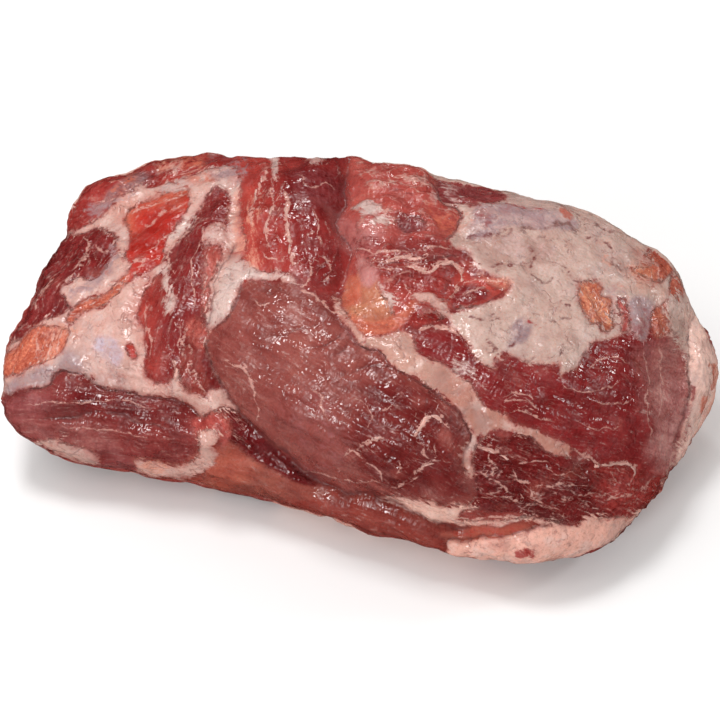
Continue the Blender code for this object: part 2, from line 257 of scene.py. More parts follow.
# The seen side's patches from the lowest to the topmost: kind, colour, fibre angle in the picture in degrees,
# marbling, and outline in photo pixels. Lean lies over fat that comes earlier in the list, and the other way.
# Fat has neither fibres nor marbling. A stain changes only the colour and marbling of what lies there, and
# fades out softly. A film covers it in shreds, and the number after its angle is how thickly.
PATCHES = (
    ("lean", "strip_red", 22, 0.25, (
        (170, 380), (260, 400), (480, 500), (560, 540), (450, 560), (230, 500), (130, 480),
    )),
    ("fat", "pink_fat", 0, 0, (
        (50, 245), (84, 203), (118, 195), (143, 183), (170, 178), (215, 165), (250, 150), (247, 172),
        (241, 205), (244, 240), (238, 285), (228, 315), (210, 330), (207, 345), (222, 391), (205, 412),
        (176, 399), (120, 391), (98, 385), (78, 371), (52, 382), (5, 400), (-6, 370), (14, 325), (35, 280),
    )),
    ("lean", "brick", -25, 0.4, (
        (78, 182), (110, 176), (135, 166), (148, 166), (141, 178), (138, 187), (118, 196), (113, 200),
        (100, 215), (88, 224), (66, 233), (56, 236),
    )),
    ("lean", "brick", -28, 0.5, (
        (150, 176), (146, 166), (180, 150), (212, 146), (250, 144), (243, 163), (222, 167), (204, 171),
        (188, 177), (170, 184), (146, 188),
    )),
    ("lean", "dusty", -25, 0.5, (
        (92, 206), (104, 194), (118, 184), (134, 174), (146, 172), (143, 182), (128, 192), (112, 200),
        (100, 210),
    )),
    ("film", "peach_fat", 0, 0.75, (
        (150, 168), (170, 158), (200, 150), (244, 147), (250, 156), (220, 160), (190, 166), (160, 176),
    )),
    ("lean", "crimson", -56, 0.6, (
        (58, 238), (80, 234), (99, 228), (113, 236), (114, 251), (106, 265), (92, 277), (80, 277), (67, 285),
        (61, 295), (68, 306), (50, 318), (31, 329), (8, 342), (10, 322), (28, 286), (44, 262),
    )),
    ("lean", "bright_red", -38, 0.2, (
        (125, 216), (133, 208), (153, 199), (183, 190), (191, 200), (184, 216), (170, 231), (166, 246),
        (164, 260), (153, 268), (138, 275), (124, 284), (132, 265), (125, 255), (129, 234),
    )),
    ("stain", "orange", -38, 0.5, (
        (123, 214), (133, 206), (160, 196), (187, 188), (176, 198), (150, 207), (131, 218), (127, 228),
    )),
    ("lean", "orange", -25, 0.9, (
        (66, 321), (70, 309), (83, 299), (107, 292), (121, 279), (130, 274), (124, 286), (106, 301),
        (86, 310), (73, 321),
    )),
    ("lean", "orange", -60, 0.8, (
        (-4, 362), (16, 343), (37, 327), (67, 327), (66, 340), (61, 352), (38, 364), (28, 368), (18, 374),
        (-2, 378),
    )),
    ("lean", "crimson", -70, 0.35, (
        (212, 188), (220, 187), (229, 195), (229, 212), (225, 228), (211, 232), (210, 247), (205, 263),
        (203, 280), (203, 305), (206, 325), (207, 345), (214, 373), (222, 391), (212, 394), (204, 390),
        (196, 398), (184, 392), (178, 370), (169, 383), (158, 384), (145, 376), (147, 350), (145, 332),
        (138, 318), (142, 298), (153, 277), (170, 268), (165, 257), (176, 246), (188, 228), (200, 210),
    )),
    ("stain", "scarlet", -78, 0.3, (
        (140, 300), (150, 288), (158, 300), (156, 330), (158, 360), (166, 386), (146, 376), (148, 345),
        (138, 320),
    )),
    ("fat", "white_fat", 0, 0, (
        (160, 262), (167, 270), (170, 284), (177, 301), (172, 313), (164, 312), (166, 296), (162, 282),
    )),
    ("fat", "rose_fat", 0, 0, ((207, 226), (223, 222), (224, 246), (208, 248), (203, 240))),
    ("lean", "raw_pink", -75, 0.5, (
        (206, 246), (218, 246), (221, 254), (216, 270), (211, 284), (209, 300), (206, 314), (202, 312),
        (203, 296), (205, 280), (205, 262),
    )),
    ("lean", "russet", -70, 0.35, (
        (178, 371), (183, 350), (187, 341), (194, 346), (204, 350), (208, 361), (216, 379), (222, 390),
        (206, 388), (208, 396), (191, 397), (187, 392), (183, 382),
    )),
    ("lean", "crimson", -70, 0.3, (
        (203, 352), (208, 350), (210, 362), (217, 379), (222, 390), (214, 388), (206, 374), (202, 362),
    )),
    ("lean", "raw_pink", -60, 0.9, (
        (187, 322), (198, 318), (206, 326), (208, 340), (204, 350), (194, 346), (187, 340),
    )),
    ("fat", "pink_fat", 0, 0, (
        (188, 398), (196, 396), (207, 396), (211, 389), (223, 391), (231, 402), (241, 413), (229, 410),
        (217, 412), (210, 417), (199, 414), (190, 405),
    )),
    ("lean", "bright_red", 0, 0, ((126, 344), (132, 345), (137, 357), (131, 358), (126, 350))),
    ("lean", "brick", 80, 0.15, (
        (243, 150), (345, 148), (343, 204), (334, 220), (336, 231), (349, 249), (347, 268), (334, 292),
        (312, 287), (292, 273), (262, 269), (238, 266), (244, 248), (241, 222), (240, 200), (241, 184),
    )),
    ("stain", "scarlet", 80, 0.15, ((238, 150), (262, 150), (262, 200), (268, 266), (238, 268))),
    ("stain", "crimson", 80, 0.12, (
        (292, 200), (342, 204), (334, 220), (336, 231), (349, 249), (347, 268), (334, 292), (312, 287),
        (300, 276), (294, 250), (289, 222),
    )),
    ("stain", "wine", 20, 0.1, (
        (280, 180), (300, 160), (322, 158), (344, 160), (343, 202), (320, 206), (292, 200), (282, 192),
    )),
    ("fat", "white_fat", 0, 0, ((271, 156), (279, 156), (279, 174), (274, 182), (272, 172))),
    ("fat", "white_fat", 0, 0, ((308, 158), (321, 157), (322, 163), (312, 164))),
    ("fat", "white_fat", 0, 0, (
        (236, 258), (245, 258), (258, 268), (286, 272), (298, 283), (290, 284), (276, 277), (256, 279),
        (243, 282), (238, 298), (228, 314), (212, 328), (207, 322), (215, 303), (224, 275),
    )),
    ("lean", "eye_rose", 32, 0.3, (
        (209, 333), (222, 322), (238, 299), (246, 284), (262, 279), (290, 284), (318, 298), (336, 318),
        (352, 338), (368, 351), (381, 355), (399, 373), (430, 389), (460, 416), (471, 436), (463, 452),
        (463, 468), (474, 486), (474, 506), (440, 502), (400, 497), (360, 494), (330, 486), (300, 466),
        (268, 438), (240, 410), (222, 388), (209, 352),
    )),
    ("stain", "eye_deep", 32, 0.35, (
        (375, 372), (399, 376), (430, 392), (458, 418), (468, 436), (460, 452), (461, 470), (470, 488),
        (466, 500), (430, 500), (395, 494), (372, 486), (350, 462), (352, 420), (362, 390),
    )),
    ("lean", "flap_rose", 12, 0.25, (
        (350, 158), (346, 181), (345, 205), (336, 221), (339, 231), (353, 248), (349, 266), (342, 280),
        (341, 300), (348, 318), (362, 333), (382, 336), (394, 324), (418, 322), (440, 314), (452, 306),
        (460, 296), (457, 262), (446, 240), (457, 228), (460, 212), (441, 199), (436, 183), (440, 174),
        (430, 152), (390, 140),
    )),
    ("stain", "brick", 10, 0.6, (
        (352, 246), (378, 240), (403, 238), (430, 240), (456, 246), (464, 268), (457, 291), (446, 298),
        (436, 304), (415, 300), (396, 294), (384, 280), (372, 270),
    )),
    ("stain", "dusty_rose", 12, 0.2, (
        (340, 222), (356, 220), (376, 226), (380, 242), (362, 248), (350, 242),
    )),
    ("lean", "scarlet", -15, 0.2, (
        (452, 290), (461, 272), (475, 276), (498, 276), (509, 285), (497, 295), (483, 303), (460, 309),
    )),
    ("lean", "brick", 20, 0.9, (
        (406, 306), (420, 303), (436, 310), (444, 320), (426, 323), (408, 326), (398, 322),
    )),
    ("film", "wine", 0, 0.6, ((424, 306), (436, 310), (446, 322), (430, 322), (420, 314))),
    ("fat", "white_fat", 0, 0, ((349, 205), (364, 201), (382, 203), (378, 213), (368, 217), (358, 212))),
    ("fat", "white_fat", 0, 0, ((370, 220), (382, 213), (392, 215), (390, 222), (380, 225), (371, 226))),
    ("film", "peach_fat", 0, 0.8, ((362, 182), (380, 175), (398, 178), (408, 186), (394, 188), (374, 189))),
    ("film", "pink_fat", 0, 0.6, (
        (356, 168), (376, 170), (400, 172), (424, 178), (436, 192), (424, 192), (404, 182), (376, 178),
    )),
    ("film", "pink_fat", 0, 0.6, ((424, 190), (436, 184), (444, 196), (442, 210), (434, 216), (426, 204))),
    ("fat", "pink_fat", 0, 0, (
        (412, 294), (424, 292), (438, 296), (447, 304), (452, 316), (444, 318), (432, 306), (418, 302),
    )),
    ("lean", "amber", 70, 0.35, (
        (359, 262), (364, 276), (374, 276), (382, 292), (392, 310), (391, 324), (381, 334), (362, 332),
        (348, 318), (342, 298), (345, 280), (356, 276),
    )),
    ("lean", "orange", 75, 0.3, (
        (344, 286), (350, 274), (358, 276), (360, 290), (356, 302), (346, 304), (341, 298),
    )),
    ("lean", "dusty_rose", 75, 0.2, ((358, 262), (364, 258), (374, 264), (378, 276), (370, 286), (360, 284))),
    ("lean", "orange", 10, 0.5, (
        (346, 312), (358, 318), (376, 322), (388, 316), (400, 312), (412, 302), (418, 306), (404, 324),
        (390, 334), (368, 334), (352, 326),
    )),
    ("film", "bright_red", 0, 0.5, (
        (352, 328), (372, 332), (392, 328), (410, 318), (414, 326), (390, 340), (366, 340),
    )),
    ("fat", "white_fat", 0, 0, ((377, 280), (384, 286), (394, 298), (393, 312), (388, 308), (383, 294))),
    ("fat", "band_fat", 0, 0, (
        (330, 293), (338, 298), (344, 312), (354, 324), (366, 334), (382, 336), (394, 332), (410, 334),
        (414, 340), (421, 356), (436, 363), (451, 369), (464, 379), (474, 391), (485, 403), (497, 410),
        (511, 420), (527, 428), (546, 434), (560, 441), (570, 447), (577, 451), (568, 453), (570, 461),
        (566, 462), (556, 456), (546, 451), (536, 443), (527, 436), (516, 431), (504, 431), (489, 433),
        (477, 446), (468, 457), (475, 471), (471, 479), (462, 465), (462, 448), (471, 435), (460, 414),
        (446, 399), (429, 387), (416, 377), (399, 371), (394, 364), (380, 352), (364, 349), (353, 334),
        (339, 317),
    )),
    ("fat", "band_shade", 0, 0, (
        (436, 370), (452, 375), (466, 386), (486, 406), (500, 415), (527, 429), (560, 442), (574, 450),
        (556, 453), (536, 441), (514, 430), (490, 431), (476, 440), (464, 420), (448, 400), (436, 388),
    )),
    ("lean", "deep_red", 20, 0.25, (
        (416, 336), (440, 333), (459, 335), (466, 344), (477, 357), (494, 368), (512, 356), (529, 362),
        (547, 364), (566, 372), (580, 366), (592, 344), (628, 335), (652, 328), (682, 340), (690, 400),
        (684, 446), (664, 478), (636, 474), (634, 466), (612, 464), (587, 458), (560, 438), (534, 427),
        (514, 418), (497, 410), (485, 402), (474, 391), (464, 378), (451, 368), (436, 362), (421, 355),
    )),
    ("stain", "dusky", 20, 0.6, (
        (644, 352), (668, 334), (690, 344), (696, 400), (692, 448), (674, 490), (654, 474), (648, 430),
        (646, 390),
    )),
    ("stain", "dusty_rose", 20, 0.6, ((658, 396), (690, 384), (694, 440), (678, 484), (658, 462))),
    ("film", "mauve", 0, 0.7, ((626, 330), (640, 330), (656, 336), (656, 352), (646, 378), (634, 372))),
    ("film", "mauve", 0, 0.8, (
        (640, 306), (652, 306), (654, 318), (650, 336), (636, 342), (628, 332), (636, 322),
    )),
    ("film", "lilac", 0, 0.6, ((610, 284), (626, 286), (630, 300), (620, 302), (610, 296))),
    ("film", "silver", 0, 0.5, (
        (72, 320), (92, 314), (110, 318), (118, 350), (124, 376), (110, 386), (84, 376), (74, 350),
    )),
    # The crevice under the round muscle: its granular tissue's own deeper red, with painted shade.
    ("film", "wine", 0, 0.7, (
        (248, 424), (268, 440), (300, 458), (330, 482), (310, 486), (282, 474), (260, 456),
    )),
    ("film", "mauve", 0, 0.45, ((270, 400), (310, 390), (348, 410), (350, 450), (330, 470), (296, 448))),
    ("film", "rose", 0, 0.3, ((262, 300), (300, 310), (340, 336), (330, 348), (290, 334), (258, 326))),
    ("lean", "lower_red", 20, 0.9, (
        (479, 446), (489, 435), (506, 438), (514, 433), (534, 440), (552, 453), (570, 458), (592, 463),
        (622, 466), (640, 474), (664, 480), (652, 512), (615, 517), (575, 522), (530, 520), (500, 519),
        (468, 522), (466, 512), (475, 500), (474, 488), (475, 471), (470, 458),
    )),
    ("stain", "brick", 20, 0.8, ((604, 468), (640, 470), (664, 478), (654, 512), (618, 518), (600, 500))),
    ("fat", "cap_fat", 0, 0, (
        (446, 237), (452, 248), (469, 251), (472, 265), (498, 277), (509, 284), (503, 295), (483, 304),
        (460, 308), (449, 315), (449, 326), (463, 335), (477, 357), (494, 369), (496, 358), (505, 353),
        (529, 362), (547, 364), (560, 365), (557, 378), (566, 372), (578, 368), (586, 355), (593, 343),
        (610, 340), (633, 332), (651, 326), (670, 338), (700, 330), (710, 270), (680, 225), (600, 185),
        (520, 160), (440, 150), (436, 182), (441, 199), (460, 213), (457, 228),
    )),
    ("fat", "cap_shade", 0, 0, (
        (458, 236), (500, 236), (540, 240), (556, 256), (530, 268), (492, 264), (470, 254),
    )),
    ("fat", "lilac_fat", 0, 0, (
        (478, 206), (500, 203), (530, 208), (556, 215), (576, 222), (572, 231), (548, 230), (524, 226),
        (508, 224), (494, 232), (480, 238), (468, 234), (474, 218),
    )),
    ("film", "peach_fat", 0, 0.8, ((482, 274), (500, 276), (512, 284), (500, 290), (486, 286))),
    ("lean", "crimson", -15, 0.4, ((453, 291), (466, 284), (484, 289), (486, 298), (464, 307), (451, 303))),
    ("film", "wine", 0, 0.4, ((456, 288), (474, 292), (490, 296), (480, 304), (460, 308), (452, 300))),
    ("lean", "corner_purple", 15, 0.3, (
        (436, 178), (456, 172), (482, 176), (503, 190), (506, 196), (492, 202), (480, 205), (465, 203),
        (446, 200), (437, 191),
    )),
    ("lean", "tawny", 60, 1.0, (
        (582, 282), (592, 283), (602, 288), (600, 296), (611, 298), (612, 312), (612, 330), (601, 331),
        (600, 322), (590, 324), (584, 312), (580, 300),
    )),
    ("lean", "orange", 80, 1.0, ((636, 270), (646, 266), (656, 262), (658, 270), (656, 282), (644, 278))),
    ("lean", "orange", 70, 0.9, (
        (648, 250), (660, 252), (672, 262), (670, 276), (660, 282), (656, 272), (654, 260),
    )),
    ("lean", "rust", 60, 0.9, ((671, 281), (680, 276), (687, 290), (687, 312), (680, 302), (672, 298))),
    ("stain", "amber", 60, 0.9, ((636, 268), (650, 262), (652, 284), (640, 284))),
    ("lean", "rust", 75, 0.9, ((652, 322), (656, 310), (666, 302), (671, 316), (668, 334), (654, 336))),
    ("stain", "tawny", 75, 1.0, ((654, 310), (668, 302), (670, 320), (658, 322))),
    ("fat", "lilac_fat", 0, 0, (
        (631, 300), (650, 297), (655, 310), (652, 326), (645, 342), (634, 340), (630, 322),
    )),
    ("lean", "rose", 75, 1.0, ((618, 302), (626, 300), (629, 316), (627, 332), (621, 332), (621, 316))),
    ("fat", "seam_fat", 0, 0, (
        (376, 496), (391, 497), (428, 500), (449, 504), (474, 507), (466, 520), (445, 525), (431, 522),
        (416, 513), (396, 505),
    )),
    ("lean", "rust", 5, 0.3, (
        (462, 530), (484, 528), (520, 528), (540, 532), (520, 537), (490, 540), (456, 541), (440, 536),
    )),
    ("lean", "russet", 5, 0.5, ((464, 510), (490, 513), (520, 514), (524, 520), (490, 523), (464, 520))),
    ("fat", "seam_fat", 0, 0, (
        (452, 521), (490, 523), (521, 520), (545, 522), (575, 526), (570, 531), (540, 527), (520, 525),
        (490, 528), (456, 526),
    )),
    ("fat", "roll_fat", 0, 0, (
        (446, 545), (452, 540), (483, 538), (506, 535), (528, 531), (550, 525), (575, 525), (587, 516),
        (615, 517), (652, 505), (664, 484), (690, 470), (672, 520), (620, 556), (560, 575), (500, 575),
        (455, 560),
    )),
    ("fat", "cap_fat", 0, 0, (
        (667, 296), (694, 294), (710, 330), (706, 354), (692, 376), (682, 356), (672, 340), (667, 322),
    )),
    # Painted light: the side of the roll at the right end is lighter than the rest of the roll.
    ("fat", "lit_side_fat", 0, 0, (
        (686, 318), (694, 312), (706, 332), (722, 352), (724, 380), (704, 425), (684, 456), (670, 482),
        (664, 480), (678, 452), (686, 420), (691, 385), (688, 350),
    )),
    ("lean", "brown_red", 8, 0.45, (
        (-2, 399), (17, 391), (31, 389), (51, 383), (56, 372), (78, 372), (83, 381), (98, 386), (119, 392),
        (153, 397), (176, 400), (188, 406), (201, 416), (195, 424), (199, 438), (198, 452), (187, 463),
        (165, 464), (138, 458), (99, 464), (92, 455), (73, 446), (54, 438), (38, 440), (10, 436), (-6, 420),
    )),
    ("stain", "wine", 8, 0.4, (
        (66, 390), (80, 384), (98, 390), (150, 402), (186, 410), (176, 424), (130, 420), (96, 416), (70, 408),
    )),
    ("stain", "mauve", 8, 0.4, ((14, 398), (50, 390), (56, 400), (46, 418), (20, 420))),
    ("stain", "dusky", 8, 0.5, (
        (-2, 428), (30, 424), (73, 424), (104, 430), (120, 444), (92, 452), (54, 436), (10, 436),
    )),
    ("fat", "pink_fat", 0, 0, ((36, 440), (54, 438), (73, 446), (92, 455), (98, 466), (70, 462), (44, 450))),
    ("stain", "mauve", 8, 0.2, ((97, 462), (122, 459), (140, 462), (138, 474), (110, 472), (96, 468))),
    ("fat", "pink_fat", 0, 0, (
        (138, 460), (165, 466), (184, 465), (197, 455), (205, 470), (186, 480), (160, 478), (138, 473),
    )),
    ("film", "silver", 0, 0.9, (
        (158, 194), (190, 187), (214, 181), (240, 176), (252, 166), (240, 162), (220, 169), (200, 174),
        (180, 177),
    )),
    ("film", "white_fat", 0, 0.9, (
        (228, 188), (239, 180), (241, 200), (238, 215), (241, 230), (244, 240), (236, 249), (228, 246),
        (226, 232), (231, 215), (229, 200),
    )),
    ("film", "peach_fat", 0, 0.55, ((46, 330), (68, 326), (68, 342), (60, 354), (46, 362), (40, 350))),
    ("fat", "white_fat", 0, 0, (
        (196, 214), (186, 219), (176, 226), (168, 236), (174, 238), (188, 226), (198, 218),
    )),
    ("film", "plum", 0, 0.8, (
        (112, 186), (122, 178), (136, 171), (146, 172), (142, 182), (126, 190), (114, 194),
    )),
    ("film", "corner_purple", 0, 0.8, ((88, 206), (98, 198), (114, 198), (110, 206), (98, 214), (88, 216))),
    ("film", "lilac", 0, 0.8, (
        (96, 203), (112, 196), (130, 190), (148, 182), (150, 188), (134, 196), (116, 203), (102, 208),
    )),
    ("film", "orange", 0, 0.6, ((96, 186), (108, 178), (124, 176), (118, 182), (104, 187))),
    ("film", "orange", 0, 0.7, ((192, 160), (200, 156), (216, 156), (214, 166), (204, 172), (196, 170))),
    ("film", "plum", 0, 0.75, ((216, 160), (228, 157), (244, 160), (240, 166), (226, 168))),
    ("film", "lilac", 0, 0.6, ((222, 160), (240, 157), (246, 164), (226, 169))),
    ("film", "lilac", 0, 0.7, (
        (112, 246), (118, 256), (112, 272), (100, 284), (84, 292), (70, 298), (66, 290), (86, 280),
        (102, 268),
    )),
    ("fat", "lilac_sheen", 0, 0, (
        (96, 338), (106, 338), (116, 343), (119, 356), (117, 364), (108, 360), (98, 350),
    )),
    ("fat", "lilac_fat", 0, 0, ((53, 370), (55, 359), (66, 352), (79, 357), (82, 368), (76, 373), (62, 370))),
    ("fat", "lilac_fat", 0, 0, ((8, 388), (26, 375), (46, 365), (54, 371), (50, 380), (28, 387), (10, 394))),
    ("film", "lilac", 0, 0.8, (
        (482, 208), (505, 208), (528, 212), (546, 220), (566, 224), (560, 232), (540, 230), (520, 224),
        (500, 222), (486, 218),
    )),
    ("fat", "lilac_spot", 0, 0, (
        (513, 325), (522, 321), (531, 324), (530, 332), (524, 340), (514, 346), (510, 350), (512, 338),
    )),
    ("film", "dusty", 0, 0.9, ((474, 210), (486, 206), (495, 212), (490, 221), (478, 222), (470, 217))),
    ("film", "plum", 0, 0.8, ((468, 233), (484, 230), (502, 228), (498, 236), (480, 239))),
    ("film", "silver", 0, 0.6, (
        (470, 222), (500, 226), (540, 236), (560, 250), (540, 262), (500, 256), (476, 242),
    )),
    ("film", "peach_fat", 0, 0.7, (
        (594, 252), (610, 254), (622, 264), (640, 268), (636, 278), (618, 272), (600, 264),
    )),
    ("film", "plum", 0, 0.8, ((294, 170), (318, 166), (344, 168), (344, 204), (320, 207), (298, 200))),
    ("lean", "plum", 20, 1.0, ((396, 216), (408, 213), (422, 219), (424, 228), (410, 232), (397, 226))),
    ("stain", "brown_red", 12, 0.5, ((396, 240), (424, 236), (446, 244), (454, 258), (430, 262), (402, 260))),
    ("film", "orange", 0, 0.6, ((436, 206), (450, 204), (460, 214), (456, 228), (446, 236), (436, 226))),
    ("film", "crimson", 0, 0.7, (
        (350, 240), (372, 236), (400, 240), (424, 236), (440, 242), (426, 250), (396, 252), (366, 256),
    )),
    ("film", "mauve", 0, 0.5, (
        (412, 268), (430, 272), (448, 268), (458, 280), (452, 294), (436, 298), (420, 288),
    )),
    ("film", "silver", 0, 0.55, ((440, 184), (452, 182), (464, 194), (460, 202), (446, 198))),
    # Partly a painted highlight: a pale film where the muscle gleams, over a little white froth.
    ("film", "white_fat", 0, 0.7, ((452, 364), (466, 360), (478, 368), (474, 380), (460, 378))),
    ("film", "scarlet", 0, 0.6, (
        (449, 530), (480, 528), (520, 526), (538, 524), (530, 532), (490, 537), (456, 538),
    )),
    ("film", "peach_fat", 0, 0.6, ((136, 462), (152, 459), (168, 466), (164, 472), (144, 472))),
    ("film", "peach_fat", 0, 0.6, (
        (246, 200), (256, 190), (262, 214), (256, 240), (262, 262), (248, 264), (246, 236),
    )),
    ("film", "silver", 0, 0.25, ((254, 312), (290, 306), (330, 316), (318, 326), (280, 322), (256, 320))),
    ("lean", "tan_red", 20, 0.3, (
        (204, 472), (214, 456), (228, 443), (240, 442), (256, 454), (276, 468), (304, 484), (330, 494),
        (300, 502), (250, 498), (214, 492),
    )),
    ("stain", "rust", 20, 0.2, ((198, 466), (212, 452), (230, 450), (246, 464), (244, 484), (216, 490))),
    # The crevice under the round muscle: its granular tissue's own deeper red, with painted shade.
    ("lean", "wine", 40, 0.95, (
        (214, 412), (228, 408), (240, 414), (256, 430), (274, 446), (296, 466), (314, 484), (298, 484),
        (278, 474), (258, 462), (242, 450), (228, 440), (218, 426),
    )),
    ("lean", "raw_pink", 40, 0.95, (
        (194, 420), (204, 413), (216, 411), (226, 418), (232, 434), (224, 440), (212, 430),
    )),
    ("lean", "rose", 60, 0.6, (
        (191, 422), (204, 414), (219, 417), (230, 437), (224, 446), (214, 436), (204, 430), (197, 438),
    )),
    ("fat", "pink_fat", 0, 0, (
        (197, 438), (204, 430), (214, 430), (217, 440), (212, 450), (220, 456), (206, 471), (190, 474),
        (186, 465), (198, 454),
    )),
)

# Fine pale lines on the seen side: half width in millimetres, and the way in photo pixels.
VEINS = (
    (0.8, ((358, 448), (368, 443), (381, 437), (387, 440))),
    (1.0, ((413, 437), (420, 428), (426, 419), (433, 416), (441, 421), (449, 428))),
    (0.6, ((411, 475), (420, 469), (430, 464), (443, 458))),
    (0.45, ((390, 489), (398, 487), (408, 484), (416, 478))),
    (0.4, ((396, 462), (399, 467), (396, 473))),
    (0.45, ((345, 455), (352, 451), (358, 455), (364, 459))),
    (0.5, ((224, 358), (232, 364), (243, 367), (249, 379), (255, 399), (258, 422))),
    (0.35, ((310, 388), (322, 397), (319, 408), (328, 422))),
    (0.4, ((418, 442), (426, 447), (424, 455), (430, 460))),
    (0.45, ((512, 470), (517, 478), (529, 485), (557, 485), (589, 487))),
    (0.4, ((530, 487), (533, 498), (544, 507))),
    (0.35, ((540, 487), (548, 491), (557, 495))),
    (0.5, ((480, 470), (489, 478), (500, 485), (511, 493))),
    (0.6, (
        (574, 448), (584, 457), (595, 463), (607, 465), (622, 463), (633, 466), (636, 474), (630, 482),
        (622, 486),
    )),
    (0.4, ((532, 486), (555, 492), (564, 498), (579, 500), (590, 508))),
    (0.4, ((489, 454), (491, 462), (500, 471), (497, 480))),
    (0.45, ((187, 354), (193, 366), (200, 382), (207, 391))),
    (0.7, ((172, 358), (176, 368), (177, 384))),
    (0.5, ((188, 327), (184, 338), (184, 350))),
    (0.5, ((686, 360), (690, 390), (688, 420), (681, 446), (671, 463), (660, 484))),
    (0.6, ((477, 449), (489, 451), (506, 457), (517, 463))),
    (0.35, ((545, 470), (560, 474), (574, 472), (590, 478))),
    (0.35, ((488, 462), (493, 472), (490, 480))),
    (0.35, ((482, 500), (500, 497), (520, 503), (542, 509), (560, 511))),
    (0.5, ((300, 288), (312, 293), (325, 303), (336, 315))),
    (0.7, ((267, 165), (264, 176), (258, 187), (253, 207), (250, 225))),
    (0.6, ((272, 186), (273, 200), (267, 222), (266, 236), (270, 246))),
    (0.8, ((285, 190), (287, 203), (287, 225), (290, 249), (293, 268))),
    (0.5, ((200, 215), (186, 232), (172, 250), (168, 262), (172, 272))),
    (0.5, ((306, 258), (312, 270), (305, 282), (300, 286))),
    (0.45, ((318, 252), (328, 260), (330, 272), (322, 282))),
    (0.5, ((85, 236), (88, 248), (84, 258), (70, 270))),
    (0.35, ((96, 244), (104, 252), (110, 250))),
    (0.35, ((60, 268), (52, 282), (40, 296), (34, 310))),
    (0.8, ((372, 257), (386, 261), (403, 257), (416, 259), (428, 255))),
    (0.8, (
        (370, 264), (390, 268), (408, 266), (420, 271), (430, 271), (440, 265), (454, 264), (462, 276),
        (457, 290), (448, 297),
    )),
    (0.6, ((418, 330), (432, 327), (450, 330), (462, 336))),
    (0.45, ((505, 404), (516, 400), (528, 402), (540, 408))),
    (0.4, ((510, 412), (524, 410), (540, 416), (552, 422))),
    (0.45, ((604, 500), (618, 498), (640, 490), (654, 478))),
    (0.4, ((448, 516), (470, 521), (506, 519), (529, 521), (570, 527))),
    (0.35, ((190, 500), (220, 496), (244, 500), (262, 506))),
    (0.4, ((148, 300), (146, 320), (152, 340), (150, 356))),
    (0.45, ((186, 340), (192, 352), (188, 366), (194, 384))),
    (0.35, ((176, 322), (182, 330), (178, 344), (184, 358))),
    (0.32, ((252, 300), (262, 306), (270, 304))),
    (0.24, ((300, 470), (330, 478), (360, 482), (392, 486))),
    (0.28, ((366, 462), (378, 470), (384, 482))),
    (0.24, ((436, 446), (440, 458), (452, 462))),
    (0.28, ((380, 412), (392, 404), (404, 408))),
    (0.24, ((352, 398), (364, 404), (372, 416), (368, 428))),
    (0.4, ((352, 249), (372, 250), (392, 254), (412, 252), (436, 248), (452, 250))),
    (0.4, ((404, 283), (412, 292), (424, 296), (430, 304))),
    (0.32, ((462, 282), (476, 278), (492, 279), (504, 284))),
    (0.32, ((462, 296), (476, 290), (490, 288))),
    (0.32, ((520, 492), (526, 504), (520, 514))),
    (0.24, ((560, 494), (580, 498), (602, 496), (620, 490))),
    (0.28, ((500, 456), (514, 462), (530, 464), (548, 462))),
    (0.24, ((474, 482), (484, 494), (500, 492))),
    (0.24, ((610, 470), (626, 488), (648, 492))),
    (0.24, ((596, 400), (616, 404), (634, 400))),
    (0.24, ((560, 386), (584, 392), (606, 388), (624, 380))),
    (0.24, ((576, 420), (600, 430), (622, 426))),
    (0.28, ((644, 350), (650, 380), (646, 410), (652, 440))),
    (0.24, ((660, 346), (664, 380), (662, 420))),
    (0.36, ((162, 254), (150, 262), (138, 270))),
    (0.32, ((206, 234), (196, 254), (192, 280), (194, 310))),
    (0.28, ((24, 406), (50, 402), (80, 404), (110, 400), (150, 408))),
    (0.24, ((60, 428), (90, 430), (120, 432), (150, 438))),
    (0.28, ((310, 210), (318, 222), (316, 236), (322, 244))),
    (0.28, ((298, 176), (310, 184), (324, 182), (336, 190))),
    (0.32, ((262, 250), (272, 258), (284, 262))),
    (0.4, ((131, 213), (150, 206), (168, 199), (187, 192))),
    (0.38, ((140, 225), (158, 217), (178, 206), (196, 199))),
    (0.32, ((140, 251), (156, 242), (170, 232), (186, 221))),
    (0.5, ((126, 270), (136, 262), (146, 262))),
    (0.4, ((37, 328), (36, 342), (34, 358))),
    (0.35, ((54, 330), (50, 344), (44, 357))),
    (0.35, ((62, 329), (58, 341), (54, 353))),
    (0.5, ((93, 200), (104, 199), (118, 196), (134, 190), (147, 184))),
    (0.4, ((158, 182), (170, 174), (184, 170), (196, 166))),
    (0.4, ((172, 178), (186, 172), (200, 170))),
    (0.35, ((594, 292), (598, 302), (592, 312), (596, 322))),
    (0.35, ((604, 300), (602, 312), (608, 322))),
    (0.35, ((586, 296), (592, 304), (588, 314))),
    (0.4, ((656, 262), (658, 272), (656, 282))),
    (0.35, ((504, 398), (512, 392), (524, 394), (534, 402))),
    (0.35, ((590, 368), (600, 360), (616, 358), (630, 362))),
)
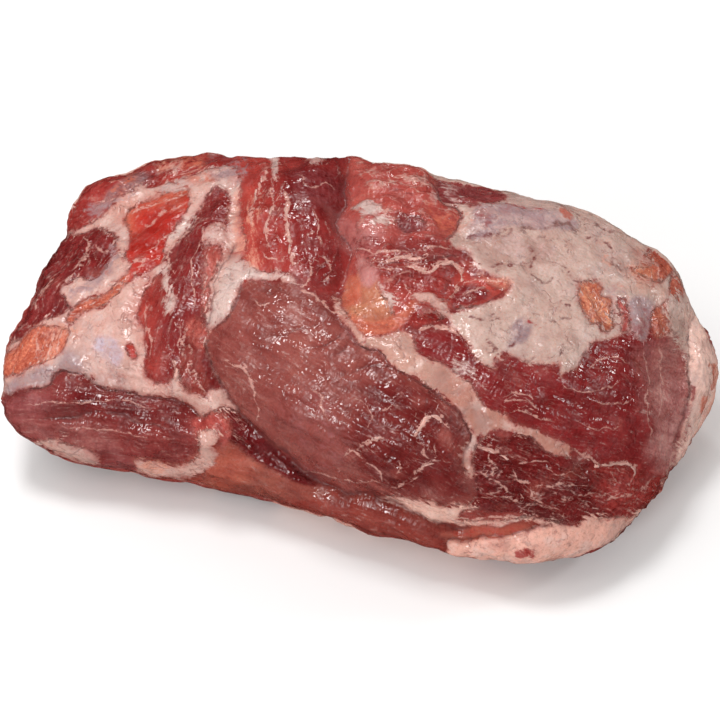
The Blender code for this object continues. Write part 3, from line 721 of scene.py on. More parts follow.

# Creases pressed sharply into the seen side: depth and half width in millimetres, the strength of the painted
# shade in them, and the way.
CREASES = (
    (2.2, 1.1, 0.6, ((350, 152), (345, 182), (344, 204), (335, 220), (338, 232), (351, 248), (351, 254))),
    (1.2, 0.9, 0.3, ((351, 254), (349, 266), (341, 284))),
    (1.6, 1.2, 0.8, (
        (209, 345), (212, 365), (223, 390), (237, 408), (252, 425), (270, 440), (290, 457), (307, 474),
        (325, 485), (350, 492), (380, 497), (420, 514), (446, 526), (466, 528),
    )),
    (1.2, 1.2, 0.5, (
        (4, 398), (31, 390), (52, 382), (60, 372), (80, 373), (98, 386), (120, 392), (153, 397), (180, 402),
        (202, 416),
    )),
    (1.0, 1.2, 0.4, ((40, 420), (73, 417), (104, 411), (140, 422), (170, 428))),
    (1.2, 1.0, 0.6, ((237, 243), (230, 256), (221, 268), (214, 290), (211, 312), (206, 326))),
    (1.0, 1.0, 0.5, ((242, 282), (240, 296), (228, 317), (212, 329))),
    (1.0, 1.0, 0.5, (
        (335, 318), (352, 338), (366, 350), (381, 354), (398, 372), (430, 389), (460, 416), (471, 436),
        (463, 452), (464, 472),
    )),
    (1.0, 1.0, 0.6, ((692, 314), (686, 340), (690, 384), (684, 420), (676, 452))),
    (0.9, 0.9, 0.5, ((438, 182), (442, 200), (460, 213), (457, 228), (446, 240))),
    (0.8, 0.9, 0.6, ((444, 546), (452, 539), (483, 537), (520, 533), (550, 524))),
    (0.7, 0.8, 0.4, ((172, 262), (180, 246), (190, 229), (202, 212))),
    (0.8, 0.9, 0.5, ((372, 262), (403, 262), (428, 264), (446, 258), (460, 254))),
    (0.7, 0.8, 0.5, ((446, 298), (458, 308), (484, 304), (508, 286))),
    (1.1, 1.0, 0.35, ((314, 347), (326, 343), (338, 337), (345, 331))),
    (1.0, 0.9, 0.35, ((334, 354), (343, 349), (349, 341))),
    (0.9, 0.9, 0.3, ((350, 374), (362, 369), (378, 366), (394, 368))),
    (0.8, 1.0, 0.25, ((262, 336), (284, 334), (304, 328), (322, 324))),
)

# Cracks and marks on the fat: half width in millimetres, colour, and the way.
MARKS = (
    (0.6, "wine", ((464, 238), (478, 233), (495, 235), (508, 231))),
    (1.1, "corner_purple", ((478, 214), (486, 218), (490, 222))),
    (0.8, "crack", ((531, 273), (538, 277), (544, 282), (552, 277))),
    (0.5, "blood", ((529, 321), (536, 323), (541, 326))),
    (0.7, "brick", ((505, 203), (514, 204), (526, 208))),
    (0.35, "brick", ((526, 208), (534, 209), (545, 212))),
    (0.45, "crack", ((521, 227), (534, 229), (551, 229), (567, 223), (577, 229))),
    (0.35, "crack", ((485, 307), (492, 314), (499, 319))),
    (0.4, "crack", ((507, 349), (514, 342), (521, 334), (517, 323))),
    (0.45, "crack", ((524, 349), (529, 359), (534, 357))),
    (0.35, "crack", ((563, 342), (560, 356), (557, 366))),
    (0.35, "crack", ((533, 259), (531, 271))),
    (0.35, "crack", ((586, 271), (593, 275), (599, 281))),
    (0.4, "crack", ((612, 256), (617, 265), (627, 268))),
    (0.5, "crack", ((498, 347), (490, 352), (483, 346))),
    (0.7, "crack", ((584, 356), (587, 350), (590, 358))),
    (0.35, "crack", ((540, 236), (552, 241), (560, 240))),
    (0.35, "crack", ((604, 226), (612, 232), (622, 234))),
    (0.5, "crack", ((560, 205), (572, 211), (580, 216))),
    (0.4, "crack", ((594, 222), (600, 229), (610, 232))),
    (0.35, "crack", ((476, 248), (486, 253), (494, 251))),
    (0.35, "crack", ((545, 318), (556, 322), (566, 318))),
    (1.2, "rust", ((563, 213), (569, 216))),
    (0.35, "wine", ((478, 262), (490, 266), (500, 262), (512, 268))),
    (0.35, "wine", ((556, 262), (566, 268), (574, 278), (580, 282))),
    (0.35, "wine", ((470, 316), (484, 320), (500, 318), (508, 322))),
    (0.35, "wine", ((486, 340), (494, 346), (498, 354))),
    (0.35, "wine", ((530, 250), (536, 256), (534, 264))),
    (0.35, "wine", ((588, 236), (600, 240), (612, 248))),
    (0.35, "wine", ((560, 300), (570, 306), (574, 318))),
    (1.3, "blood", ((517, 551), (524, 552), (531, 554))),
    (0.5, "wine", ((514, 344), (510, 350), (508, 354))),
    (1.6, "orange", ((712, 366), (716, 377), (714, 388))),
    (1.2, "orange", ((706, 398), (702, 412))),
)

# Torn layers, which lie on each other like shingles: height and step in millimetres, the angle of their edges
# in the picture in degrees, and the outline in photo pixels.
TORN_LAYERS = (
    (1.6, 7.5, 8, (
        (352, 156), (346, 182), (346, 205), (338, 221), (342, 232), (356, 248), (350, 268), (372, 258),
        (400, 262), (420, 272), (446, 262), (456, 238), (458, 214), (442, 200), (434, 178), (428, 156),
        (390, 148),
    )),
    (1.3, 5.5, 14, (
        (366, 262), (400, 262), (440, 262), (462, 272), (498, 278), (508, 286), (484, 302), (458, 308),
        (440, 318), (400, 324), (394, 304), (380, 284),
    )),
    (0.9, 6.0, -30, (
        (60, 236), (84, 204), (92, 182), (135, 168), (180, 152), (240, 148), (236, 166), (190, 178),
        (140, 188), (112, 206), (96, 222),
    )),
    (0.8, 5.0, -62, (
        (245, 160), (340, 160), (342, 204), (336, 226), (348, 250), (334, 288), (292, 270), (250, 262),
        (243, 210),
    )),
    (0.8, 4.5, -74, (
        (140, 300), (170, 268), (200, 214), (226, 200), (206, 250), (200, 320), (218, 388), (186, 390),
        (150, 378),
    )),
    (0.9, 4.5, -52, ((60, 240), (112, 238), (104, 264), (62, 290), (50, 318), (12, 338), (22, 296))),
)


def linear(name):
    """A named colour as linear light."""
    share = np.array(COLOURS[name]) / 255
    return np.where(share <= 0.04045, share / 12.92, ((share + 0.055) / 1.055) ** 2.4)


def evenly(name, count):
    """The same named colour for every point."""
    return np.tile(linear(name), (count, 1))


def mix(first, second, share):
    """A value or colour between two, by a share that may change from point to point."""
    change = np.asarray(second - first)
    if change.ndim > np.ndim(share):
        share = share[:, None]
    return first + change * share


def ease(value, low, high):
    """0 below low, 1 above high, and smooth between them."""
    share = np.clip((value - low) / (high - low), 0, 1)
    return share * share * (3 - 2 * share)


def waves(points, length, number=0):
    """Smooth noise over the points, between about -0.5 and 0.5, with bumps of this length."""
    start = WAVE_START * (number + 1)
    return np.array([noise.noise(start + Vector(p)) for p in points / length])


def wave_pairs(points, length, number=0):
    """Two such noises at once, for a shift in the picture."""
    first = FIRST_PAIR + 2 * number
    return np.stack([waves(points, length, each) for each in (first, first + 1)], axis=1)


def wave_sum(points, layers):
    """Waves of several lengths added up."""
    return sum(height * waves(points, length, number) for length, height, number in layers)


def sight():
    """The photograph's viewpoint and its directions right, up and back towards the viewer."""
    turn, rise = SIGHT_AZIMUTH, SIGHT_ELEVATION
    back = np.array([math.sin(turn) * math.cos(rise), -math.cos(turn) * math.cos(rise), math.sin(rise)])
    right = np.array([math.cos(turn), math.sin(turn), 0.0])
    return np.array(SIGHT_TARGET) + back * SIGHT_DISTANCE, right, np.cross(back, right), back


def in_photo(points):
    """Where the photograph shows these points, in pixels."""
    eye, right, up, back = sight()
    ray = points - eye
    scale = FOCAL_PIXELS / -(ray @ back)
    return np.stack([PHOTO_SIZE / 2 + scale * (ray @ right), PHOTO_SIZE / 2 - scale * (ray @ up)], axis=1)


def ray_through(pixel):
    """The viewpoint and the direction in which this pixel looks."""
    eye, right, up, back = sight()
    x, y = pixel
    way = (x - PHOTO_SIZE / 2) * right + (PHOTO_SIZE / 2 - y) * up - FOCAL_PIXELS * back
    return Vector(eye), Vector(way).normalized()


def to_viewer(points):
    """The direction from each point to the viewpoint."""
    way = sight()[0] - points
    return way / np.linalg.norm(way, axis=1)[:, None]


def smooth_line(corners, closed=False, steps=TRACE_STEPS):
    """Points on a Catmull-Rom curve through the corners."""
    p = np.array(corners, float)
    ends = (p[-1:], p[:2]) if closed else (2 * p[:1] - p[1:2], 2 * p[-1:] - p[-2:-1])
    p = np.concatenate([ends[0], p, ends[1]])
    t = np.linspace(0, 1, steps, endpoint=False)[:, None]
    spans = [
        (2 * b + (c - a) * t + (2 * a - 5 * b + 4 * c - d) * t**2 + (3 * b - a - 3 * c + d) * t**3) / 2
        for a, b, c, d in zip(p, p[1:], p[2:], p[3:])
    ]
    return np.concatenate([*spans, p[-2:-1]])


def near(pixels, line):
    """Which pixel places are close enough to a line for their distance to matter."""
    margin = REACH * PIXELS_PER_MM
    return np.all((pixels > line.min(axis=0) - margin) & (pixels < line.max(axis=0) + margin), axis=1)


def gap_from(pixels, start, end):
    """From the nearest place on a straight piece of line to each pixel place, and how far along that is."""
    way = end - start
    share = np.clip((pixels - start) @ way / max(way @ way, 1e-9), 0, 1)
    return pixels - start - share[:, None] * way, share


def distance_to(pixels, line):
    """Distance from each pixel place to a line, in millimetres, and whether it lies inside it."""
    nearest = np.full(len(pixels), np.inf)
    inside = np.zeros(len(pixels), bool)
    x, y = pixels.T
    for start, end in zip(line, line[1:]):
        gap, _ = gap_from(pixels, start, end)
        nearest = np.minimum(nearest, gap[:, 0] ** 2 + gap[:, 1] ** 2)
        if start[1] != end[1]:
            crosses = (start[1] > y) != (end[1] > y)
            inside ^= crosses & (x < start[0] + (y - start[1]) * (end[0] - start[0]) / (end[1] - start[1]))
    return np.sqrt(nearest) / PIXELS_PER_MM, inside


def depth_inside(pixels, outline):
    """How deep each pixel place lies inside an outline, in millimetres, and negative outside it."""
    line = smooth_line(outline, closed=True)
    depth = np.full(len(pixels), -REACH)
    close = near(pixels, line)
    gap, inside = distance_to(pixels[close], line)
    depth[close] = np.clip(np.where(inside, gap, -gap), -REACH, REACH)
    return depth


def beside(pixels, line):
    """The signed distance from each pixel place to an open line, in millimetres, and how far along it."""
    nearest = np.full(len(pixels), np.inf)
    turn, along = np.ones(len(pixels)), np.zeros(len(pixels))
    for number, (start, end) in enumerate(zip(line, line[1:])):
        gap, share = gap_from(pixels, start, end)
        way = end - start
        far = np.hypot(gap[:, 0], gap[:, 1])
        closer = far < nearest
        nearest = np.where(closer, far, nearest)
        turn = np.where(closer, np.sign(way[0] * gap[:, 1] - way[1] * gap[:, 0]), turn)
        along = np.where(closer, (number + share) / (len(line) - 1), along)
    return turn * nearest / PIXELS_PER_MM, along


def gap_to(pixels, way):
    """The distance from each pixel place to an open line, in millimetres."""
    line = smooth_line(way)
    gap = np.full(len(pixels), REACH)
    close = near(pixels, line)
    gap[close] = np.minimum(distance_to(pixels[close], line)[0], REACH)
    return gap


def line_field(surface, lines):
    """Each point's signed distance to the nearest line in millimetres, and the line's half width there.

    A line thins to its ends, and where another line is equally near.
    """
    count = len(surface.mm)
    side, half, second = np.full(count, REACH), np.zeros(count), np.full(count, REACH)
    for width, way in lines:
        line = smooth_line(way)
        close = np.flatnonzero(near(surface.traced, line))
        signed, along = beside(surface.traced[close], line)
        gap = np.abs(signed)
        nearer = gap < np.abs(side[close])
        second[close] = np.where(nearer, np.abs(side[close]), np.minimum(second[close], gap))
        side[close[nearer]] = signed[nearer]
        half[close[nearer]] = width * (4 * along * (1 - along))[nearer] ** LINE_TAPER
    half *= ease(second - np.abs(side), 0.3, 1.2) * ease(surface.seen, 0.2, 0.6)
    return np.clip(side, -REACH, REACH), half


def nudged(mm):
    """The points in millimetres, shifted near the outline's nudges."""
    shift = np.zeros_like(mm)
    for middle, reach, push in NUDGES:
        gap = ((mm - middle) ** 2).sum(axis=1)
        shift += np.exp(-gap / reach**2)[:, None] * push
    return mm + shift


def plain_mesh(thing):
    """The evaluated mesh of an object, which is then removed."""
    depsgraph = bpy.context.evaluated_depsgraph_get()
    mesh = bpy.data.meshes.new_from_object(thing.evaluated_get(depsgraph))
    bpy.data.objects.remove(thing)
    return mesh


def fine_form(sizes):
    """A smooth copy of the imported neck, with even quads of the fine size."""
    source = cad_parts[NODE]
    bm = bmesh.new()
    bm.from_mesh(source.data)
    bm.transform(source.matrix_world)
    bmesh.ops.remove_doubles(bm, verts=bm.verts, dist=MERGE_WITHIN)
    bmesh.ops.join_triangles(bm, faces=bm.faces, angle_face_threshold=QUAD_BEND,
                             angle_shape_threshold=math.pi)
    mesh = bpy.data.meshes.new("neck_form")
    bm.to_mesh(mesh)
    bm.free()
    form = bpy.data.objects.new("neck_form", mesh)
    bpy.context.scene.collection.objects.link(form)
    rounding = form.modifiers.new("rounding", "SUBSURF")
    rounding.levels = rounding.render_levels = ROUNDING_LEVELS
    quads = form.modifiers.new("even_quads", "REMESH")
    quads.mode = "VOXEL"
    quads.voxel_size = sizes.quad * MM
    return plain_mesh(form)


def add_piece(name, mesh, material):
    """A finished piece at the origin, which rides on the neck's only body."""
    mesh.name = name
    mesh.materials.clear()
    mesh.materials.append(material)
    mesh.shade_smooth()
    piece = bpy.data.objects.new(name, mesh)
    bpy.context.scene.collection.objects.link(piece)
    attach(piece, BODY)
    return piece


class Surface:
    """The fine neck's points in millimetres, and what each of them shows."""

    def __init__(self, mesh):
        count = len(mesh.vertices)
        self.mesh = mesh
        places, normals = np.empty(count * 3), np.empty(count * 3)
        mesh.vertices.foreach_get("co", places)
        mesh.vertices.foreach_get("normal", normals)
        self.normals = normals.reshape(-1, 3)
        self.mm = nudged(places.reshape(-1, 3) / MM)
        self.places = self.mm * MM
        self.pixels = in_photo(self.places)
        squarely = (self.normals * to_viewer(self.places)).sum(axis=1)
        self.seen = ease(squarely, GRAZING, CLEARLY_SEEN)
        shift = sum(wave_pairs(self.mm, length, number) * pixels
                    for number, (length, pixels) in enumerate(OUTLINE_WARPS))
        self.traced = self.pixels + shift

    def store(self, **stored):
        """Keeps one value, vector or colour for each point as an attribute."""
        for name, values in stored.items():
            kind, data = {1: ("FLOAT", "value"), 2: ("FLOAT_VECTOR", "vector")}[np.ndim(values)]
            layer = self.mesh.attributes.new(name, kind, "POINT")
            layer.data.foreach_set(data, np.ascontiguousarray(values, dtype=np.float32).ravel())

    def reshape(self, mm):
        """Moves the mesh's points to new places in millimetres, none of them under the floor."""
        mm[:, 2] = np.maximum(mm[:, 2], FLOOR_GAP)
        self.mesh.vertices.foreach_set("co", (mm * MM).ravel())
        self.mesh.update()


def paint_seen_side(surface):
    """What the seen side shows at each point, and its fibres' place and number, from the traced patches."""
    count = len(surface.mm)
    fat, marbling, film = np.full(count, -REACH), np.full(count, 0.3), np.zeros(count)
    lean_tint, fat_tint, film_tint = (evenly(name, count) for name in ("brown_red", "seam_fat", "silver"))
    fibre, calm = np.zeros((count, 3)), np.ones(count)
    drift = waves(surface.mm, 9, 15)
    for number, (kind, name, degrees, amount, outline) in enumerate(PATCHES):
        depth, colour = depth_inside(surface.traced, outline), linear(name)
        if kind == "stain":
            faint = STAIN_STRENGTH * ease(depth + STAIN_WANDER * drift, -STAIN_EDGE, STAIN_EDGE)
            lean_tint = mix(lean_tint, colour, faint)
            fat_tint = mix(fat_tint, colour, faint)
            marbling = mix(marbling, amount, faint)
        elif kind == "film":
            laid = ease(depth + drift * FILM_EDGE, -FILM_EDGE, FILM_EDGE)
            film = np.maximum(film * (1 - laid), amount * laid)
            film_tint = mix(film_tint, colour, ease(depth, -3 * FILM_EDGE, -FILM_EDGE))
        elif kind == "fat":
            fat = np.maximum(fat, depth)
            fat_tint = mix(fat_tint, colour, ease(depth, -2 * TINT_EDGE, TINT_EDGE))
        else:
            share = ease(depth, -TINT_EDGE, TINT_EDGE)
            fat = np.minimum(fat, -depth)
            lean_tint = mix(lean_tint, colour, share)
            marbling = mix(marbling, amount, share)
            turn = math.radians(degrees)
            axes = np.array([[math.cos(turn), -math.sin(turn)], [math.sin(turn), math.cos(turn)]])
            lies = depth > 0
            fibre[lies, :2] = surface.pixels[lies] @ axes / PIXELS_PER_MM
            fibre[lies, 2] = number * REACH
            from_edge = ease(np.abs(depth), *CALM_EDGE)
            calm = np.where(lies, from_edge, np.minimum(calm, from_edge))
    for half, name, way in MARKS:
        gap = half - gap_to(surface.traced, way)
        film = np.maximum(film, MARK_STRENGTH * ease(gap, -MARK_EDGE, MARK_EDGE))
        film_tint = mix(film_tint, linear(name), ease(gap, -3 * MARK_EDGE, -MARK_EDGE))
    look = {"fat_depth": fat, "lean_tint": lean_tint, "fat_tint": fat_tint, "marbling": marbling,
            "calm": calm, "film": film, "film_tint": film_tint}
    return look, fibre


def long_muscles(mm):
    """For the unseen sides: which long muscle each point is on, and how far it is from the next."""
    gaps = []
    for number, ((y, z), _) in enumerate(LONG_MUSCLES):
        turn = mm[:, 0] / WANDER_LENGTH + WANDER_TURN_EACH * number
        gaps.append(np.hypot(mm[:, 1] - y - MUSCLE_WANDER * np.sin(turn),
                             mm[:, 2] - z - MUSCLE_WANDER * np.cos(WANDER_UP_RATIO * turn)))
    order = np.argsort(gaps, axis=0)
    ranked = np.take_along_axis(np.array(gaps), order, axis=0)
    return order[0], (ranked[1] - ranked[0]) / 2


def paint_hidden_sides(surface):
    """What the unseen sides show at each point, and how far it is from a seam between muscles.

    Long muscles lie there under torn sheets of fat and of thin, silvery skin.
    """
    mm, count = surface.mm, len(surface.mm)
    (bend_wave, bend), (fray_wave, fray) = BORDER_BEND, BORDER_FRAY
    drift = np.stack([waves(mm, bend_wave, number) for number in (5, 6, 7)], axis=1)
    muscle, gap = long_muscles(mm + bend * drift)
    gap = np.maximum(gap + fray * waves(mm, fray_wave, 20), 0)

    # Each muscle has its own colour, with darker and paler clouds, and is marbled most on the cut ends.
    lean_tint = np.array([linear(name) for _, name in LONG_MUSCLES])[muscle]
    clouds = waves(mm * (0.6, 1, 1), 20, 18)
    lean_tint = mix(lean_tint, linear("wine"), 0.6 * ease(clouds, 0.02, 0.3))
    lean_tint = mix(lean_tint, linear("rose"), 0.6 * ease(-clouds, 0.02, 0.3))
    marbling = 0.25 + 0.4 * ease(waves(mm, 19, 19), -0.1, 0.25)
    marbling = np.maximum(marbling, 0.85 * ease(np.abs(surface.normals[:, 0]), 0.45, 0.8))

    # Fat fills the seams, broadly in some places, and silvery skin lies on the muscles in streaks.
    broad = waves(mm, 26, 8)
    fat = 0.4 + 2.8 * np.clip(broad + 0.2, 0, 1) - gap
    fat_tint = evenly("seam_fat", count)
    film = 0.6 * ease(waves(mm * (0.4, 1, 1), 12, 17), 0.12, 0.26)
    film_tint = mix(evenly("silver", count), linear("peach_fat"), ease(broad, -0.1, 0.1))

    # Sheets of fat end in ragged edges, with shreds beyond them.
    ragged = 14 * broad + 6 * waves(mm, 10, 9) + 3.5 * waves(mm * (0.22, 1, 1), 4.5, 16)
    shreds = ease(waves(mm * (0.35, 1, 1), 7, 21), -0.02, 0.2)
    for middle, half, name in FAT_SHEETS:
        depth = min(half) * (1 - np.linalg.norm((mm - middle) / half, axis=1)) + ragged
        edge = ease(depth, -5, -1)
        fat = np.maximum(fat, depth)
        fat_tint = mix(fat_tint, linear(name), ease(depth, -4, 2))
        film = np.maximum(film, 0.8 * edge * shreds)
        film_tint = mix(film_tint, linear(name), edge)
    look = {"fat_depth": np.clip(fat, -REACH, REACH), "lean_tint": lean_tint, "fat_tint": fat_tint,
            "marbling": marbling, "calm": ease(np.abs(surface.seen - 0.5), 0.05, 0.3),
            "film": film * ease(-fat, -1.0, 0.5), "film_tint": film_tint}
    return look, gap


def torn_layers(surface):
    """How far the torn layers stand out in millimetres, and where on a layer each point is.

    The latter is 1 on a layer's pale edge, 0 in the gap beyond it, which gets painted shade, and a half where
    there are no layers.
    """
    height, rank = np.zeros(len(surface.mm)), np.full(len(surface.mm), 0.5)
    sway = wave_sum(surface.mm, LAYER_SWAY)
    chips = waves(surface.mm, 9, 14)
    for tall, step, degrees, outline in TORN_LAYERS:
        turn = math.radians(degrees)
        across = surface.pixels @ (-math.sin(turn), math.cos(turn)) / PIXELS_PER_MM
        phase = (across / step + sway) % 1
        ramp = np.where(phase < LAYER_CREST, phase / LAYER_CREST, (1 - phase) / (1 - LAYER_CREST))
        share = ease(depth_inside(surface.traced, outline), -0.5, 3.0)
        share *= surface.seen * ease(chips, -0.3, 0.15)
        height += tall * share * ramp
        rank += share * (ramp - 0.5)
    return height, rank


def pressed_creases(surface):
    """How deep the creases are at each point in millimetres, and how strong their painted shade is."""
    crease, darkness = np.zeros(len(surface.mm)), np.zeros(len(surface.mm))
    for depth, half, dark, way in CREASES:
        pressed = np.exp(-((gap_to(surface.traced, way) / half) ** 2)) * surface.seen
        crease += depth * pressed
        darkness = np.maximum(darkness, dark * pressed)
    return crease, darkness


def dress_surface(surface, sizes):
    """Paints the neck and moves its points out to the fat's edges, the creases and the fibres."""
    seen = surface.seen
    shown, fibre = paint_seen_side(surface)
    hidden, gap = paint_hidden_sides(surface)
    look = {name: mix(hidden[name], shown[name], seen) for name in hidden}
    fat, marbling = look["fat_depth"], look["marbling"]
    layers, layer_rank = torn_layers(surface)
    crease, darkness = pressed_creases(surface)
    seam = (1 - seen) * np.exp(-gap**2) * (fat < 0.3)
    sinew_side, sinew_half = line_field(surface, VEINS)
    clefts = [(half * dark * CLEFT_SHARE, way) for _, half, dark, way in CREASES]
    cleft_side, cleft_half = line_field(surface, clefts)

    stretch = (FIBRE_STRETCH, 1, 1)
    grain = np.where(seen[:, None] > 0.5, fibre * stretch, surface.mm * stretch)
    bundles = sizes.bundle_height * waves(grain, BUNDLE_WIDTH, 1) * (0.4 + marbling)
    belly = BELLY_RISE * (1 - seen) * (1 - np.exp(-gap / BELLY_SHOULDER))
    rise = sizes.fat_rise * np.sqrt(1 - (1 - np.clip(fat / FAT_SHOULDER, 0, 1)) ** 2)
    lean_share = ease(-fat, -0.3, 0.8)
    out = rise + wave_sum(surface.mm, SWELL) + layers + belly + lean_share * bundles
    out += (1 - lean_share) * wave_sum(surface.mm, FAT_LUMPS) - SEAM_DEPTH * seam - SINK
    surface.reshape(surface.mm + surface.normals * out[:, None] - to_viewer(surface.places) * crease[:, None])
    # The creases and the seams between the unseen muscles are stored with the strength of their painted shade.
    surface.store(**look, fibre=fibre, seen=seen, layer_rank=layer_rank,
                  darkness=np.clip(np.maximum(SEAM_SHADE * seam, darkness), 0, 1),
                  sinew_side=sinew_side, sinew_half=sinew_half, cleft_side=cleft_side, cleft_half=cleft_half)


def lie_on(tree, pixel, sink):
    """Where this pixel's sight line meets the neck, pushed in by sink metres, or None where it misses."""
    eye, way = ray_through(pixel)
    place, normal, _, _ = tree.ray_cast(eye, way)
    return None if place is None else place - normal * sink


def vein_lines(body):
    """A mesh of lines that lie on the neck, with each point's thickness."""
    tree = BVHTree.FromObject(body, bpy.context.evaluated_depsgraph_get())
    places, edges, thickness = [], [], []
    raised = [(RAISED_WIDEN * half, way) for half, way in VEINS if half > RAISED_FROM]
    for number, (half, way) in enumerate(raised):
        line = smooth_line(way, steps=VEIN_STEPS)
        wave_places = np.column_stack([line, np.full(len(line), number * REACH)])
        wobble = sum(wave_pairs(wave_places, length) * shift for length, shift in VEIN_WOBBLES)
        spots = [lie_on(tree, pixel, half * MM * VEIN_SINK) for pixel in line + wobble]
        spots = [spot for spot in spots if spot is not None]
        first = len(places)
        places += spots
        thickness += [half * MM] * len(spots)
        edges += [(first + i, first + i + 1) for i in range(len(spots) - 1)]
    mesh = bpy.data.meshes.new("vein_lines")
    mesh.from_pydata(places, edges, [])
    mesh.attributes.new("thickness", "FLOAT", "POINT").data.foreach_set("value", thickness)
    return mesh


class Flow:
    """A value on its way through a node tree. Arithmetic on it adds Math nodes."""

    def __init__(self, nodes, socket):
        self.nodes = nodes
        self.socket = socket

    def math(self, operation, *others, clamp=False):
        """Adds a Math node that takes this value and the others."""
        settings = {"operation": operation, "use_clamp": clamp}
        return self.nodes.node("ShaderNodeMath", settings, dict(enumerate((self, *others))))

    def math_after(self, operation, first):
        """Adds a Math node that takes another value before this one."""
        return self.nodes.node("ShaderNodeMath", {"operation": operation}, {0: first, 1: self})

    def __add__(self, other):
        return self.math("ADD", other)

    __radd__ = __add__

    def __mul__(self, other):
        return self.math("MULTIPLY", other)

    __rmul__ = __mul__

    def __sub__(self, other):
        return self.math("SUBTRACT", other)

    def __rsub__(self, other):
        return self.math_after("SUBTRACT", other)

    def __rtruediv__(self, other):
        return self.math_after("DIVIDE", other)

    def abs(self):
        """The value without its sign."""
        return self.math("ABSOLUTE")

    def ease(self, start, end):
        """0 up to the start, 1 from the end on, and smooth between them. The end may be the lower one."""
        values = {"Value": self, "From Min": start, "From Max": end}
        return self.nodes.node("ShaderNodeMapRange", {"interpolation_type": "SMOOTHSTEP"}, values)


class Nodes:
    """A node tree that is built one node at a time."""

    def __init__(self, tree):
        self.tree = tree

    def node(self, kind, settings=None, values=None, output=0):
        """Adds a node, sets its settings, then the values or links of its sockets."""
        made = self.tree.nodes.new(kind)
        for key, value in (settings or {}).items():
            setattr(made, key, value)
        for key, value in (values or {}).items():
            if isinstance(value, Flow):
                self.tree.links.new(value.socket, made.inputs[key])
            else:
                made.inputs[key].default_value = value
        return Flow(self, made.outputs[output])


class Growth(Nodes):
    """A Geometry Nodes tree with named inputs."""

    def __init__(self, name, inputs):
        super().__init__(bpy.data.node_groups.new(name, "GeometryNodeTree"))
        face = self.tree.interface
        face.new_socket("Geometry", in_out="INPUT", socket_type="NodeSocketGeometry")
        self.identifiers = {}
        for label, kind, default in inputs:
            socket = face.new_socket(label, in_out="INPUT", socket_type=kind)
            socket.default_value = default
            self.identifiers[label] = socket.identifier
        face.new_socket("Geometry", in_out="OUTPUT", socket_type="NodeSocketGeometry")
        self.source = self.tree.nodes.new("NodeGroupInput")

    def input(self, label):
        """One of the tree's own inputs."""
        return Flow(self, self.source.outputs[label])

    def finish(self, geometry, material):
        """Ends the tree as the export needs it: realized, and with its material."""
        real = self.node("GeometryNodeRealizeInstances", None, {"Geometry": geometry})
        painted = self.node("GeometryNodeSetMaterial", None, {"Geometry": real, "Material": material})
        end = self.tree.nodes.new("NodeGroupOutput")
        self.tree.links.new(painted.socket, end.inputs[0])

    def grow(self, name, mesh, values):
        """Runs the tree on a mesh and gives the plain mesh that comes out."""
        thing = bpy.data.objects.new(name, mesh)
        bpy.context.scene.collection.objects.link(thing)
        modifier = thing.modifiers.new(name, "NODES")
        modifier.node_group = self.tree
        for label, value in values.items():
            modifier[self.identifiers[label]] = value
        return plain_mesh(thing)


def vein_growth(material):
    """Lines become tapering, uneven round strands."""
    g = Growth("strands", (
        ("Sides", "NodeSocketInt", 8),
        ("Taper", "NodeSocketFloat", 0.35),
        ("Unevenness", "NodeSocketFloat", 0.9),
        ("Wave Length", "NodeSocketFloat", STRAND_WAVE),
        ("Seed", "NodeSocketFloat", STRAND_SEED),
    ))
    lines = g.node("GeometryNodeMeshToCurve", None, {"Mesh": g.input("Geometry")})
    share = g.node("GeometryNodeSplineParameter")
    taper = (share * (1.0 - share)).math("MULTIPLY", 4.0, clamp=True).math("POWER", g.input("Taper"))
    wave = g.node("ShaderNodeTexNoise", {"noise_dimensions": "4D"}, {
        "Vector": g.node("GeometryNodeInputPosition"),
        "W": g.input("Seed"),
        "Scale": 1.0 / g.input("Wave Length"),
    })
    uneven = (wave - 0.5) * g.input("Unevenness") * 2.0 + 1.0
    thickness = g.node("GeometryNodeInputNamedAttribute", {"data_type": "FLOAT"}, {"Name": "thickness"})
    ring = g.node("GeometryNodeCurvePrimitiveCircle", None, {"Resolution": g.input("Sides"), "Radius": 1.0})
    tube = g.node("GeometryNodeCurveToMesh", None, {
        "Curve": lines,
        "Profile Curve": ring,
        "Scale": thickness * taper * uneven,
        "Fill Caps": True,
    })
    g.finish(tube, material)
    return g


